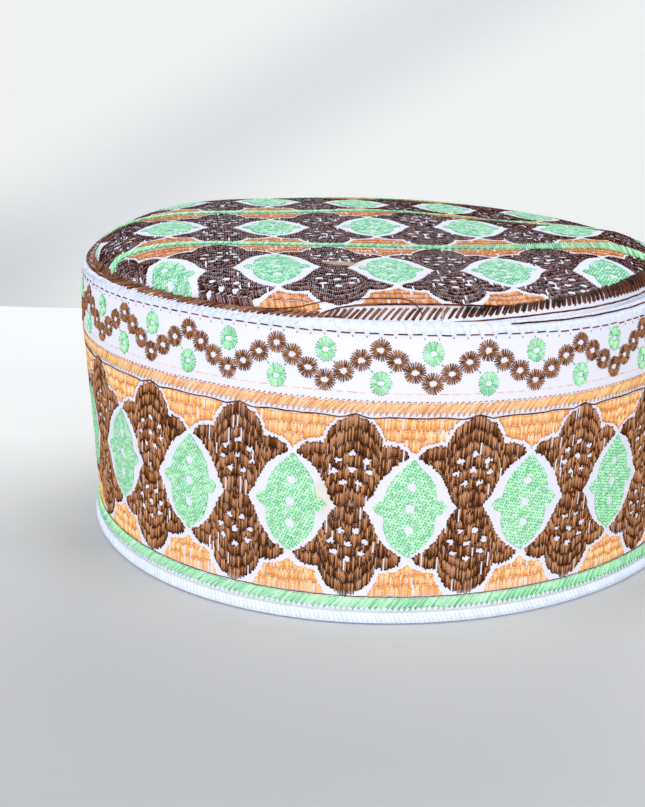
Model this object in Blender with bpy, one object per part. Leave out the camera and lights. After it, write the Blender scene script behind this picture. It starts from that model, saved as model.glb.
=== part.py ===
"""A stiff, nearly round prayer cap: an upright side band and a low crown of embroidered cotton, joined by a
white overcast seam and finished with an overcast hem. It rests on its hem, +Z up, with the front at -Y."""

import math
from collections import namedtuple

import bmesh
import bpy
from mathutils import Vector

MM = 0.001

# Driving dimensions, in millimetres
BAND_WALL = 2.4
CROWN_WALL = 1.8
GAP = 0.3
SEAM_WIDTH = 3.2
HEM_HEIGHT = 3.8
HEM_WIDTH = 2.8
SEAM_FOOT = 75.1
CROWN_EDGE = 77.4

# How finely the round pieces are divided, and the step that the crown's slope is measured over
SEGMENTS = 72
SLOPE_STEP = 0.8
CROWN_RINGS = (0.0, 0.12, 0.24, 0.36, 0.47, 0.57, 0.66, 0.74, 0.81, 0.87, 0.915, 0.95, 0.982, 1.0)

# The outside of the cap where a plane at each height cuts it, before the waves of the cloth
Section = namedtuple("Section", "place height radius")
OUTSIDE = (
    Section("hem", 0.0, 92.5),
    Section("foot of the green stripe", 3.7, 92.5),
    Section("head of the green stripe", 7.1, 91.5),
    Section("middle of the embroidery", 31.2, 91.7),
    Section("foot of the orange stripe", 55.5, 92.0),
    Section("head of the orange stripe", 58.8, 92.2),
    Section("running line", 61.0, 92.1),
    Section("rosette chain", 68.0, 91.6),
    Section("crown seam", SEAM_FOOT, 90.9),
    Section("crown edge", 78.2, 90.8),
)

# The plan isn't a true circle: each wave pushes it out and in by its depth, and faces one way
Wave = namedtuple("Wave", "level lobes depth facing_deg")
PLAN_WAVES = (
    Wave("hem", 2, 1.15, -67.0),
    Wave("hem", 3, 1.83, 6.0),
    Wave("crown", 2, 1.05, 61.0),
    Wave("crown", 3, 1.95, 50.0),
    Wave("crown", 4, 0.81, 28.0),
)

# The rim stands a little higher at the back left, from the orange stripe up
RIM_LIFT = 5.0
RIM_LIFT_FACING = math.radians(152.0)
RIM_LIFT_SPREAD = math.radians(24.0)
RIM_LIFT_FROM = 58.8

# The crown: a dome with a square shoulder, softer at the front, that slopes down towards the front and the right
DOME_HEIGHT = 6.5
SHOULDER = 9.75
SHOULDER_SOFTENING = 3.0
SOFT_FACING = math.radians(-77.0)
SOFT_SPREAD = math.radians(48.5)
DOME_RISE_TO_BACK = 0.070
DOME_RISE_TO_LEFT = 0.051

# The crown's edge rolls up out of the seam, highest at the front left; it fades to nothing before the back, most
# of it goes where the shoulder is soft, and towards the middle it evens out
ROLL_WIDTH = 2.05
ROLL_FRONT = 7.9
ROLL_BACK = -2.9
ROLL_MIDDLE = 3.45
ROLL_LOSS = 0.8

# The fold across the crown: a long easy rise on its front side, steep behind
FOLD_HEIGHT = 3.1
FOLD_CENTRE = (41.9, -1.5)
FOLD_TURN = math.radians(-7.5)
FOLD_HALF_LENGTH = 61.7
FOLD_FRONT_WIDTH = 71.7
FOLD_BACK_WIDTH = 15.9

Finish = namedtuple("Finish", "colour roughness")
EMBROIDERED_BAND = Finish((0.55, 0.40, 0.28), 0.8)
EMBROIDERED_CROWN = Finish((0.30, 0.22, 0.16), 0.8)
WHITE_THREAD = Finish((0.85, 0.86, 0.92), 0.7)


def outside_radius(height):
    """The cap's mean outer radius at a height, straight between the sections."""
    for low, high in zip(OUTSIDE, OUTSIDE[1:]):
        if height <= high.height:
            share = (height - low.height) / (high.height - low.height)
            return low.radius + share * (high.radius - low.radius)
    return OUTSIDE[-1].radius


def plan_wave(angle, height):
    """How far the cloth's waves push the wall out at an angle and a height."""
    crown_share = height / OUTSIDE[-1].height
    push = 0.0
    for wave in PLAN_WAVES:
        share = crown_share if wave.level == "crown" else 1.0 - crown_share
        push += share * wave.depth * math.cos(wave.lobes * (angle - math.radians(wave.facing_deg)))
    return push


def bell(angle, facing, spread):
    """One at the angle that it faces, fading smoothly to nothing on both sides."""
    off = math.remainder(angle - facing, 2.0 * math.pi)
    return math.exp(-((off / spread) ** 2))


def rim_lift(angle, height):
    """How far the rim is lifted at an angle, growing from nothing at the orange stripe."""
    share = min(max((height - RIM_LIFT_FROM) / (SEAM_FOOT - RIM_LIFT_FROM), 0.0), 1.0)
    return share * RIM_LIFT * bell(angle, RIM_LIFT_FACING, RIM_LIFT_SPREAD)


def crown_plan_radius(angle):
    """The crown panel's outer edge, inside the seam that holds it."""
    top = OUTSIDE[-1]
    return top.radius + plan_wave(angle, top.height) - SEAM_WIDTH - GAP


def fold_height(x, y):
    """The height of the crown's fold over the dome."""
    along_x, along_y = math.cos(FOLD_TURN), math.sin(FOLD_TURN)
    x -= FOLD_CENTRE[0]
    y -= FOLD_CENTRE[1]
    along = x * along_x + y * along_y
    across = y * along_x - x * along_y
    width = FOLD_FRONT_WIDTH if across < 0.0 else FOLD_BACK_WIDTH
    return FOLD_HEIGHT * math.exp(-((across / width) ** 2) - (along / FOLD_HALF_LENGTH) ** 4)


def edge_roll(angle, out, inset):
    """How far the crown's rolled edge has risen, at a share out from the middle and a distance in from the edge."""
    frontness = (1.0 - math.sin(angle)) / 2.0
    height = max(ROLL_BACK + frontness * (ROLL_FRONT - ROLL_BACK), 0.0)
    kept = 1.0 - ROLL_LOSS * bell(angle, SOFT_FACING, SOFT_SPREAD)
    height = ROLL_MIDDLE + (kept * height - ROLL_MIDDLE) * out**2
    share = min(inset / ROLL_WIDTH, 1.0)
    return height * (1.0 - (1.0 - share) ** 2)


def crown_height(x, y):
    """The height of the crown's upper face."""
    angle = math.atan2(y, x)
    edge = crown_plan_radius(angle)
    out = min(math.hypot(x, y) / edge, 1.0)
    inside = 1.0 - out**2
    shoulder = SHOULDER - SHOULDER_SOFTENING * bell(angle, SOFT_FACING, SOFT_SPREAD)
    dome = DOME_HEIGHT * (1.0 - out**shoulder)
    slope = (DOME_RISE_TO_BACK * y - DOME_RISE_TO_LEFT * x) * inside
    fold = fold_height(x, y) * min(3.0 * inside, 1.0)
    roll = edge_roll(angle, out, (1.0 - out) * edge)
    return CROWN_EDGE + roll + dome + slope + fold + rim_lift(angle, SEAM_FOOT) * out**3


def bend_wall(point):
    """Move a point of a true round wall to where the waved cloth has it."""
    angle = math.atan2(point.y, point.x)
    radius = math.hypot(point.x, point.y) + plan_wave(angle, point.z)
    return Vector((radius * math.cos(angle), radius * math.sin(angle), point.z + rim_lift(angle, point.z)))


def bend_crown(point):
    """Move a point of a flat round panel of radius 1, at or under its face, to where the domed crown has it."""
    angle = math.atan2(point.y, point.x)
    radius = math.hypot(point.x, point.y) * crown_plan_radius(angle)
    outward = Vector((math.cos(angle), math.sin(angle), 0.0))
    face = radius * outward
    face.z = crown_height(face.x, face.y)
    inner = face - SLOPE_STEP * outward
    fall = crown_height(inner.x, inner.y) - face.z
    normal = (fall * outward + Vector((0.0, 0.0, SLOPE_STEP))).normalized()
    return face + point.z * normal


def turned(section):
    """A mesh in millimetres: a closed section of (radius, height) points, spun round the upright axis."""
    mesh = bmesh.new()
    corners = [mesh.verts.new((radius, 0.0, height)) for radius, height in section]
    edges = [mesh.edges.new((a, b)) for a, b in zip(corners, corners[1:])]
    if section[0][0] > 0.0:
        edges.append(mesh.edges.new((corners[-1], corners[0])))
    bmesh.ops.spin(
        mesh,
        geom=corners + edges,
        cent=(0.0, 0.0, 0.0),
        axis=(0.0, 0.0, 1.0),
        angle=2.0 * math.pi,
        steps=SEGMENTS,
        use_merge=True,
    )
    bmesh.ops.remove_doubles(mesh, verts=mesh.verts, dist=0.0001)
    bmesh.ops.recalc_face_normals(mesh, faces=mesh.faces)
    return mesh


def add_piece(name, section, bend, finish):
    """One named object: a turned section, bent to the cap's own shape."""
    mesh = turned(section)
    for vert in mesh.verts:
        vert.co = bend(vert.co) * MM
    data = bpy.data.meshes.new(name)
    mesh.to_mesh(data)
    mesh.free()
    data.materials.append(cloth_material(name, finish))
    data.shade_smooth()
    data.set_sharp_from_angle(angle=math.radians(50.0))
    piece = bpy.data.objects.new(name, data)
    bpy.context.scene.collection.objects.link(piece)
    return piece


def cloth_material(name, finish):
    """A matt Principled material in the piece's main colour."""
    material = bpy.data.materials.new(name)
    material.use_nodes = True
    shader = material.node_tree.nodes["Principled BSDF"]
    shader.inputs["Base Color"].default_value = (*finish.colour, 1.0)
    shader.inputs["Roughness"].default_value = finish.roughness
    shader.inputs["Metallic"].default_value = 0.0
    return material


def side_band():
    """The upright wall, standing on the hem edging and reaching up to the seam."""
    foot = HEM_HEIGHT + GAP
    heights = [foot] + [s.height for s in OUTSIDE if foot < s.height <= SEAM_FOOT]
    outer = [(outside_radius(height), height) for height in heights]
    inner = [(radius - BAND_WALL, height) for radius, height in reversed(outer)]
    return add_piece("side_band", outer + inner, bend_wall, EMBROIDERED_BAND)


def hem_edging():
    """The overcast edging: a flat-footed ring with rounded corners, a little thicker than the wall."""
    radius = outside_radius(0.0)
    corner, round_off = 0.5, 0.6
    section = (
        (radius - corner, 0.0),
        (radius, round_off),
        (radius, HEM_HEIGHT - round_off),
        (radius - corner, HEM_HEIGHT),
        (radius - HEM_WIDTH + corner, HEM_HEIGHT),
        (radius - HEM_WIDTH, HEM_HEIGHT - round_off),
        (radius - HEM_WIDTH, round_off),
        (radius - HEM_WIDTH + corner, 0.0),
    )
    return add_piece("hem_edging", section, bend_wall, WHITE_THREAD)


def crown_seam():
    """The overcast seam: a ridge that rolls over the corner from the band to the crown."""
    radius = OUTSIDE[-1].radius
    foot = SEAM_FOOT + GAP
    ridge = OUTSIDE[-1].height
    section = (
        (radius, foot),
        (radius, ridge - 1.8),
        (radius - 0.5, ridge - 0.8),
        (radius - 1.4, ridge - 0.1),
        (radius - 2.4, ridge),
        (radius - SEAM_WIDTH, ridge - 0.4),
        (radius - SEAM_WIDTH, foot),
    )
    return add_piece("crown_seam", section, bend_wall, WHITE_THREAD)


def crown_panel():
    """The domed top: one thickness of cloth, given by its share of the plan radius."""
    upper = [(share, 0.0) for share in CROWN_RINGS]
    lower = [(share, -CROWN_WALL) for share in reversed(CROWN_RINGS)]
    return add_piece("crown_panel", upper + lower, bend_crown, EMBROIDERED_CROWN)


def centre_on_origin(pieces):
    """Move the pieces together so that the middle of their plan is at the origin."""
    points = [vert.co for piece in pieces for vert in piece.data.vertices]
    middle = Vector((0.0, 0.0, 0.0))
    for axis in (0, 1):
        spread = [point[axis] for point in points]
        middle[axis] = (min(spread) + max(spread)) / 2.0
    for piece in pieces:
        piece.location = -middle


def main():
    """Clear the scene and build the cap."""
    for leftover in list(bpy.data.objects):
        bpy.data.objects.remove(leftover)
    centre_on_origin([side_band(), crown_panel(), crown_seam(), hem_edging()])


main()
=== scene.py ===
"""The looks of a stiff embroidered prayer cap: bleached cotton, worked in brown, orange and mint thread.

Every stitch that shows is a small mesh of its own, laid on the cap's surface from a chart in millimetres.
"""

import logging
import math
from collections.abc import Callable, Iterable, Iterator, Mapping
from dataclasses import dataclass, field
from enum import Enum
from functools import cached_property

import bmesh
import bpy
import numpy as np
from mathutils import Matrix, Vector

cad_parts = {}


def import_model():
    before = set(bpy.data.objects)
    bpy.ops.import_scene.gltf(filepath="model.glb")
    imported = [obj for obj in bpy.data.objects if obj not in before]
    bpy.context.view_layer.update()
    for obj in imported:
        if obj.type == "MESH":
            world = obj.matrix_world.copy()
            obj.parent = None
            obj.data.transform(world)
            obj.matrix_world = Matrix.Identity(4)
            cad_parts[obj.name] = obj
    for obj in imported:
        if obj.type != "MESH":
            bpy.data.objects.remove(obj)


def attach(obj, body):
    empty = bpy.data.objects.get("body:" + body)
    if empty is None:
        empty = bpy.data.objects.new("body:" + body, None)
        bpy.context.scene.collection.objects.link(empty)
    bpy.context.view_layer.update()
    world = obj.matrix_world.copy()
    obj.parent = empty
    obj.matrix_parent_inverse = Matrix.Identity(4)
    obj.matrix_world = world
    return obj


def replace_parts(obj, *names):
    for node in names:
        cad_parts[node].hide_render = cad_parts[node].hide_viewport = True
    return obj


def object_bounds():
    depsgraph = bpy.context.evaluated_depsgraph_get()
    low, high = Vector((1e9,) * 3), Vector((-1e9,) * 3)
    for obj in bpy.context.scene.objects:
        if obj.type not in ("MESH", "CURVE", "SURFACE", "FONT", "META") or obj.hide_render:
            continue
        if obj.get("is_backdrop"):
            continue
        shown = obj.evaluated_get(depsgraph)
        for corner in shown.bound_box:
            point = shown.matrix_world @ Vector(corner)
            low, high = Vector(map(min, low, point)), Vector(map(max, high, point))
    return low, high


MM = 0.001
FULL_TURN = 2.0 * math.pi
FRONT = -math.pi / 2.0
LOG = logging.getLogger("prayer_cap")

Array = np.ndarray
Pair = tuple[float, float]
Table = tuple[Pair, ...]
Box = tuple[float, float, float, float]
Places = tuple[Array, Array]
Inside = Callable[[Array, Array], Array]
Random = np.random.Generator
Inputs = Mapping[str | int, object]
Tree = bpy.types.NodeTree
Socket = bpy.types.NodeSocket
Material = bpy.types.Material


class Slot(Enum):
    """The record's material slots."""

    BAND = "band_cloth"
    CROWN = "crown_cloth"
    SEAM = "seam_thread"
    HEM = "hem_thread"


class Node(Enum):
    """The CAD nodes that the cloth pieces stand for."""

    BAND = "side_band"
    CROWN = "crown_panel"
    SEAM = "crown_seam"
    HEM = "hem_edging"


# The cap's own shape


@dataclass(frozen=True)
class Section:
    """Where a level plane cuts the outside of the cap."""

    height: float
    radius: float


@dataclass(frozen=True)
class Wave:
    """One wave of the plan: at the hem or at the crown, so many lobes, so deep, facing one way."""

    level: str
    lobes: int
    depth: float
    facing: float


@dataclass(frozen=True)
class CapForm:
    """The cap's surfaces in millimetres, by the same sizes and formulas as its CAD model."""

    band_wall: float = 2.4
    crown_wall: float = 1.8
    gap: float = 0.3
    seam_width: float = 3.2
    hem_height: float = 3.8
    hem_width: float = 2.8
    seam_foot: float = 75.1
    crown_edge: float = 77.4
    sections: tuple[Section, ...] = (
        Section(0.0, 92.5), Section(3.7, 92.5), Section(7.1, 91.5), Section(31.2, 91.7),
        Section(55.5, 92.0), Section(58.8, 92.2), Section(61.0, 92.1), Section(68.0, 91.6),
        Section(75.1, 90.9), Section(78.2, 90.8),
    )
    waves: tuple[Wave, ...] = (
        Wave("hem", 2, 1.15, -67.0), Wave("hem", 3, 1.83, 6.0), Wave("crown", 2, 1.05, 61.0),
        Wave("crown", 3, 1.95, 50.0), Wave("crown", 4, 0.81, 28.0),
    )
    rim_lift: float = 5.0
    rim_lift_facing: float = math.radians(152.0)
    rim_lift_spread: float = math.radians(24.0)
    rim_lift_from: float = 58.8
    dome_height: float = 6.5
    shoulder: float = 9.75
    shoulder_softening: float = 3.0
    soft_facing: float = math.radians(-77.0)
    soft_spread: float = math.radians(48.5)
    rise_to_back: float = 0.070
    rise_to_left: float = 0.051
    roll_width: float = 2.05
    roll_front: float = 7.9
    roll_back: float = -2.9
    roll_middle: float = 3.45
    roll_loss: float = 0.8
    fold_height: float = 3.1
    fold_centre: Pair = (41.9, -1.5)
    fold_turn: float = math.radians(-7.5)
    fold_half_length: float = 61.7
    fold_front_width: float = 71.7
    fold_back_width: float = 15.9
    plan_steps: int = 72

    @property
    def top(self) -> Section:
        """The highest section, at the crown's edge."""
        return self.sections[-1]

    def outside_radius(self, height: Array) -> Array:
        """The mean outer radius at a height, straight between the sections."""
        return np.interp(height, [s.height for s in self.sections], [s.radius for s in self.sections])

    def plan_wave(self, angle: Array, height: Array) -> Array:
        """How far the waves of the cloth push the wall out.

        Args:
            angle: direction from the middle of the lathe frame, in radians.
            height: height over the floor.

        Returns:
            The push at each point, outwards.
        """
        crown_share = height / self.top.height
        push = 0.0
        for wave in self.waves:
            share = crown_share if wave.level == "crown" else 1.0 - crown_share
            push = push + share * wave.depth * np.cos(wave.lobes * (angle - math.radians(wave.facing)))
        return push

    @staticmethod
    def bell(angle: Array, facing: float, spread: float) -> Array:
        """One at the angle that it faces, fading smoothly to nothing on both sides."""
        off = (angle - facing + math.pi) % FULL_TURN - math.pi
        return np.exp(-((off / spread) ** 2))

    def lift(self, angle: Array, height: Array) -> Array:
        """How far the rim is lifted, growing from nothing at the orange stripe."""
        share = np.clip((height - self.rim_lift_from) / (self.seam_foot - self.rim_lift_from), 0.0, 1.0)
        return share * self.rim_lift * self.bell(angle, self.rim_lift_facing, self.rim_lift_spread)

    def crown_radius(self, angle: Array) -> Array:
        """The crown panel's outer edge, inside the seam that holds it."""
        return self.top.radius + self.plan_wave(angle, self.top.height) - self.seam_width - self.gap

    def fold(self, x: Array, y: Array) -> Array:
        """The height of the crown's fold over the dome."""
        off_x, off_y = x - self.fold_centre[0], y - self.fold_centre[1]
        along = off_x * math.cos(self.fold_turn) + off_y * math.sin(self.fold_turn)
        across = off_y * math.cos(self.fold_turn) - off_x * math.sin(self.fold_turn)
        width = np.where(across < 0.0, self.fold_front_width, self.fold_back_width)
        return self.fold_height * np.exp(-((across / width) ** 2) - (along / self.fold_half_length) ** 4)

    def edge_roll(self, angle: Array, out: Array, inset: Array) -> Array:
        """How far the crown's rolled edge has risen.

        Args:
            angle: direction from the middle.
            out: share of the way from the middle to the edge.
            inset: distance in from the edge.

        Returns:
            The rise at each point.
        """
        frontness = (1.0 - np.sin(angle)) / 2.0
        height = np.maximum(self.roll_back + frontness * (self.roll_front - self.roll_back), 0.0)
        kept = 1.0 - self.roll_loss * self.bell(angle, self.soft_facing, self.soft_spread)
        height = self.roll_middle + (kept * height - self.roll_middle) * out**2
        share = np.minimum(inset / self.roll_width, 1.0)
        return height * (1.0 - (1.0 - share) ** 2)

    def crown_height(self, x: Array, y: Array) -> Array:
        """The height of the crown's upper face over each point of the plan."""
        angle = np.arctan2(y, x)
        edge = self.crown_radius(angle)
        out = np.minimum(np.hypot(x, y) / edge, 1.0)
        inside = 1.0 - out**2
        softened = self.shoulder_softening * self.bell(angle, self.soft_facing, self.soft_spread)
        dome = self.dome_height * (1.0 - out ** (self.shoulder - softened))
        slope = (self.rise_to_back * y - self.rise_to_left * x) * inside
        fold = self.fold(x, y) * np.minimum(3.0 * inside, 1.0)
        roll = self.edge_roll(angle, out, (1.0 - out) * edge)
        return self.crown_edge + roll + dome + slope + fold + self.lift(angle, self.seam_foot) * out**3

    @cached_property
    def middle(self) -> Pair:
        """The middle of the plan's box, which the row frame has as its origin."""
        angle = np.arange(self.plan_steps) * FULL_TURN / self.plan_steps
        low_hem, high_hem, foot = 0.6, self.hem_height - 0.6, self.hem_height + self.gap
        heights = [low_hem, high_hem, foot]
        heights += [s.height for s in self.sections if foot < s.height <= self.seam_foot]
        reach = []
        for height in heights:
            mean = self.sections[0].radius if height < foot else self.outside_radius(height)
            radius = mean + self.plan_wave(angle, height)
            reach.append(np.stack([radius * np.cos(angle), radius * np.sin(angle)]))
        reach = np.concatenate(reach, axis=1)
        middle = (reach.min(axis=1) + reach.max(axis=1)) / 2.0
        return float(middle[0]), float(middle[1])

    def bend(self, angle: Array, radius: Array, height: Array) -> Array:
        """Move points of a true round wall to where the waved cloth has them.

        Args:
            angle: direction of each point.
            radius: its distance from the axis before the waves.
            height: its height before the lift.

        Returns:
            The points in the row frame, in millimetres, on a last axis of 3.
        """
        waved = radius + self.plan_wave(angle, height)
        x, y = waved * np.cos(angle) - self.middle[0], waved * np.sin(angle) - self.middle[1]
        return np.stack([x, y, height + self.lift(angle, height)], axis=-1)

    def rings(self, section: Iterable[Pair], steps: int = 432) -> list[Array]:
        """Turn a section of (radius, height) points round the cap, a ring of points for each."""
        angle = FRONT + np.arange(steps) * FULL_TURN / steps
        return [self.bend(angle, radius + 0.0 * angle, height) for radius, height in section]


# Charts: flat millimetre grids that lie on the cap


@dataclass(frozen=True)
class GridTable:
    """Values on an even grid, read between its points."""

    values: Array
    low: Pair
    step: Pair

    def at(self, x: Array, y: Array) -> Array:
        """The value at each point, straight between the four grid points around it."""
        i = np.clip((x - self.low[0]) / self.step[0], 0.0, self.values.shape[0] - 1.001)
        j = np.clip((y - self.low[1]) / self.step[1], 0.0, self.values.shape[1] - 1.001)
        i0, j0 = i.astype(int), j.astype(int)
        a, b = i - i0, j - j0
        near = self.values[i0, j0] * (1.0 - b) + self.values[i0, j0 + 1] * b
        far = self.values[i0 + 1, j0] * (1.0 - b) + self.values[i0 + 1, j0 + 1] * b
        return near * (1.0 - a) + far * a


class WallChart:
    """The side wall laid flat: millimetres along the strip from the front, and height."""

    def __init__(self, form: CapForm, turn: float) -> None:
        """Measure the strip round the hem and round the crown.

        Args:
            form: the cap's shape.
            turn: the strip's whole length.
        """
        self.form = form
        self.turn = turn
        self.angles = FRONT + np.linspace(-1.25, 1.25, 1801) * math.pi
        self.foot_arc = self._arc(0.0)
        self.top_arc = self._arc(form.top.height)

    def _arc(self, height: float) -> Array:
        """Distance along the strip at each angle, scaled so that one whole turn is the strip's length."""
        radius = self.form.outside_radius(height) + self.form.plan_wave(self.angles, height)
        steps = np.hypot(np.diff(radius * np.cos(self.angles)), np.diff(radius * np.sin(self.angles)))
        arc = np.concatenate([[0.0], np.cumsum(steps)])
        arc -= np.interp(FRONT, self.angles, arc)
        whole = np.interp(FRONT + math.pi, self.angles, arc) - np.interp(FRONT - math.pi, self.angles, arc)
        return arc * self.turn / whole

    def angle_at(self, along: Array, height: Array) -> Array:
        """The direction in which each point of the strip lies."""
        share = height / self.form.top.height
        angle = FRONT + along * FULL_TURN / self.turn
        for _ in range(4):
            foot = np.interp(angle, self.angles, self.foot_arc)
            top = np.interp(angle, self.angles, self.top_arc)
            angle = angle + (along - foot - share * (top - foot)) * FULL_TURN / self.turn
        return angle

    def place(self, along: Array, height: Array, out: Array) -> Array:
        """Points of the chart in the row frame.

        Args:
            along: millimetres along the strip from the front, towards +X.
            height: height over the floor.
            out: distance out from the wall's face.

        Returns:
            The points, in millimetres, on a last axis of 3.
        """
        angle = self.angle_at(along, height)
        return self.form.bend(angle, self.form.outside_radius(height) + out, height)


class ProfileChart:
    """A turned edge laid flat: millimetres along the strip, and along its section."""

    def __init__(self, wall: WallChart, section: Array) -> None:
        """Measure the section.

        Args:
            wall: the chart that gives the directions.
            section: (radius, height) points, walked with the outside on the right hand.
        """
        self.wall = wall
        self.section = section
        steps = np.hypot(*np.diff(section, axis=0).T)
        self.reach = np.concatenate([[0.0], np.cumsum(steps)])
        self.length = float(self.reach[-1])

    def _section_at(self, over: Array) -> Places:
        """The section's radius and height at each distance along it."""
        radius, height = self.section.T
        return np.interp(over, self.reach, radius), np.interp(over, self.reach, height)

    def place(self, along: Array, over: Array, out: Array) -> Array:
        """Points of the chart in the row frame, as the wall's chart gives them."""
        half_step = 0.15
        radius, height = self._section_at(over)
        radius_back, height_back = self._section_at(np.maximum(over - half_step, 0.0))
        radius_on, height_on = self._section_at(np.minimum(over + half_step, self.length))
        run, rise = radius_on - radius_back, height_on - height_back
        size = np.maximum(np.hypot(run, rise), 1e-6)
        angle = self.wall.angle_at(along, height)
        return self.wall.form.bend(angle, radius + out * rise / size, height - out * run / size)


class CrownChart:
    """The crown laid flat over its own swells, turned so that its rows of flowers run level."""

    squeeze = 0.95
    squeezed_from = -60.4

    def __init__(self, form: CapForm, turn: float) -> None:
        """Measure the way over the crown from its middle, along both axes.

        Args:
            form: the cap's shape.
            turn: how far the rows are turned from the X axis, in radians.
        """
        self.form = form
        self.turn = turn
        half, count = 94.0, 189
        axis = np.linspace(-half, half, count)
        step = float(axis[1] - axis[0])
        x, y = np.meshgrid(axis, axis, indexing="ij")
        height = form.crown_height(x, y)
        self.over_x, self.pace_x = self._way(height, half, step, 0)
        self.over_y, self.pace_y = self._way(height, half, step, 1)

    @staticmethod
    def _way(height: Array, half: float, step: float, axis: int) -> tuple[GridTable, GridTable]:
        """Walk over the surface from the middle line, along one axis.

        Args:
            height: the surface's height over a square grid.
            half: half the grid's side.
            step: the grid's step.
            axis: the axis to walk along.

        Returns:
            The distance over the surface, and its growth for each millimetre of plan.
        """
        slope = np.gradient(height, step, axis=axis)
        pace = np.moveaxis(np.sqrt(1.0 + slope**2), axis, 0)
        mean_pace = (pace[1:] + pace[:-1]) / 2.0
        way = np.concatenate([np.zeros_like(pace[:1]), np.cumsum(mean_pace * step, axis=0)])
        way = way - way[len(way) // 2]
        turned = (np.moveaxis(values, 0, axis) for values in (way, pace))
        return tuple(GridTable(values, (-half, -half), (step, step)) for values in turned)

    def plan(self, across: Array, along: Array) -> Places:
        """The plan position, from the lathe's axis, of each point of the chart."""
        along = along + (self.squeeze - 1.0) * np.maximum(along - self.squeezed_from, 0.0)
        goal_x = across * math.cos(self.turn) - along * math.sin(self.turn)
        goal_y = across * math.sin(self.turn) + along * math.cos(self.turn)
        x, y = goal_x, goal_y
        for _ in range(10):
            x = x + 0.9 * (goal_x - self.over_x.at(x, y)) / self.pace_x.at(x, y)
            y = y + 0.9 * (goal_y - self.over_y.at(x, y)) / self.pace_y.at(x, y)
        return x, y

    def inset(self, across: Array, along: Array) -> Places:
        """The direction of each point and its distance in from the panel's edge, in plan."""
        x, y = self.plan(across, along)
        angle = np.arctan2(y, x)
        return angle, self.form.crown_radius(angle) - np.hypot(x, y)

    def place(self, across: Array, along: Array, out: Array) -> Array:
        """Points of the chart in the row frame.

        Args:
            across: millimetres along the rows.
            along: millimetres from row to row, towards the back.
            out: distance out from the crown's face.

        Returns:
            The points, in millimetres, on a last axis of 3.
        """
        x, y = self.plan(across, along)
        return crown_point(self.form, x, y, out)


def crown_point(form: CapForm, x: Array, y: Array, out: Array) -> Array:
    """Points over the crown in the row frame.

    Args:
        form: the cap's shape.
        x: plan position from the lathe's axis.
        y: plan position from the lathe's axis.
        out: distance out from the crown's face.

    Returns:
        The points, in millimetres, on a last axis of 3.
    """
    step = 0.6
    height = form.crown_height(x, y)
    slope_x = (form.crown_height(x + step, y) - form.crown_height(x - step, y)) / (2.0 * step)
    slope_y = (form.crown_height(x, y + step) - form.crown_height(x, y - step)) / (2.0 * step)
    size = np.sqrt(1.0 + slope_x**2 + slope_y**2)
    x, y = x - out * slope_x / size - form.middle[0], y - out * slope_y / size - form.middle[1]
    return np.stack([x, y, height + out / size], axis=-1)


def seam_section(form: CapForm) -> Array:
    """The (radius, height) points of the seam's ridge, from the band over its top to the crown's edge."""
    radius, ridge = form.top.radius, form.top.height
    return np.array(
        [
            (radius + 0.15, form.seam_foot - 0.6), (radius + 0.2, form.seam_foot + 0.6),
            (radius + 0.05, ridge - 1.5), (radius - 0.45, ridge - 0.65), (radius - 1.35, ridge - 0.05),
            (radius - 2.3, ridge), (radius - 3.0, ridge - 0.25),
            (radius - form.seam_width - form.gap + 0.1, ridge - 0.75),
        ]
    )


class RimChart:
    """The crown's border laid flat: millimetres round the edge, and in from it over the roll.

    Places less than nothing in from the edge lie on the seam's ridge.
    """

    def __init__(self, form: CapForm, reach: float = 14.0) -> None:
        """Measure the way in from the edge in every direction.

        Args:
            form: the cap's shape.
            reach: how far in the chart goes.
        """
        self.form = form
        self.mean_radius = form.top.radius - form.seam_width - form.gap
        angle = np.linspace(-math.pi, math.pi, 361)
        inset = np.linspace(0.0, reach, 113)
        grid_angle, grid_inset = np.meshgrid(angle, inset, indexing="ij")
        radius = form.crown_radius(grid_angle) - grid_inset
        height = form.crown_height(radius * np.cos(grid_angle), radius * np.sin(grid_angle))
        steps = np.hypot(np.diff(radius, axis=1), np.diff(height, axis=1))
        way = np.concatenate([np.zeros((len(angle), 1)), np.cumsum(steps, axis=1)], axis=1)
        walked = np.linspace(0.0, reach, 281)
        back = np.stack([np.interp(walked, row, inset) for row in way])
        turn_step = float(angle[1] - angle[0])
        self.way = GridTable(way, (-math.pi, 0.0), (turn_step, float(inset[1])))
        self.way_back = GridTable(back, (-math.pi, 0.0), (turn_step, float(walked[1])))
        self.ridge = seam_section(form)[::-1]
        self.ridge_reach = np.concatenate([[0.0], np.cumsum(np.hypot(*np.diff(self.ridge, axis=0).T))])

    def angle_at(self, along: Array) -> Array:
        """The direction of each distance round the edge, counted from the front towards +X."""
        return FRONT + along / self.mean_radius

    def along_at(self, degrees: Array | float) -> Array | float:
        """The distance round the edge of each direction given in degrees."""
        return (np.radians(degrees) - FRONT) * self.mean_radius

    def place(self, along: Array, inward: Array, out: Array) -> Array:
        """Points of the chart in the row frame.

        Args:
            along: millimetres round the edge from the front, towards +X.
            inward: distance in from the edge over the surface.
            out: distance out from the crown's face.

        Returns:
            The points, in millimetres, on a last axis of 3.
        """
        angle = self.angle_at(along)
        wrapped = (angle + math.pi) % FULL_TURN - math.pi
        radius = self.form.crown_radius(angle) - self.way_back.at(wrapped, np.maximum(inward, 0.0))
        on_crown = crown_point(self.form, radius * np.cos(angle), radius * np.sin(angle), out)
        reach = -inward
        ridge_radius = np.interp(reach, self.ridge_reach, self.ridge[:, 0])
        ridge_height = np.interp(reach, self.ridge_reach, self.ridge[:, 1])
        on_ridge = self.form.bend(angle, ridge_radius + 0.5 * out, ridge_height + out)
        return np.where(inward[..., None] > 0.0, on_crown, on_ridge)


Chart = WallChart | ProfileChart | CrownChart | RimChart


# Shapes and how they are filled


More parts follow.
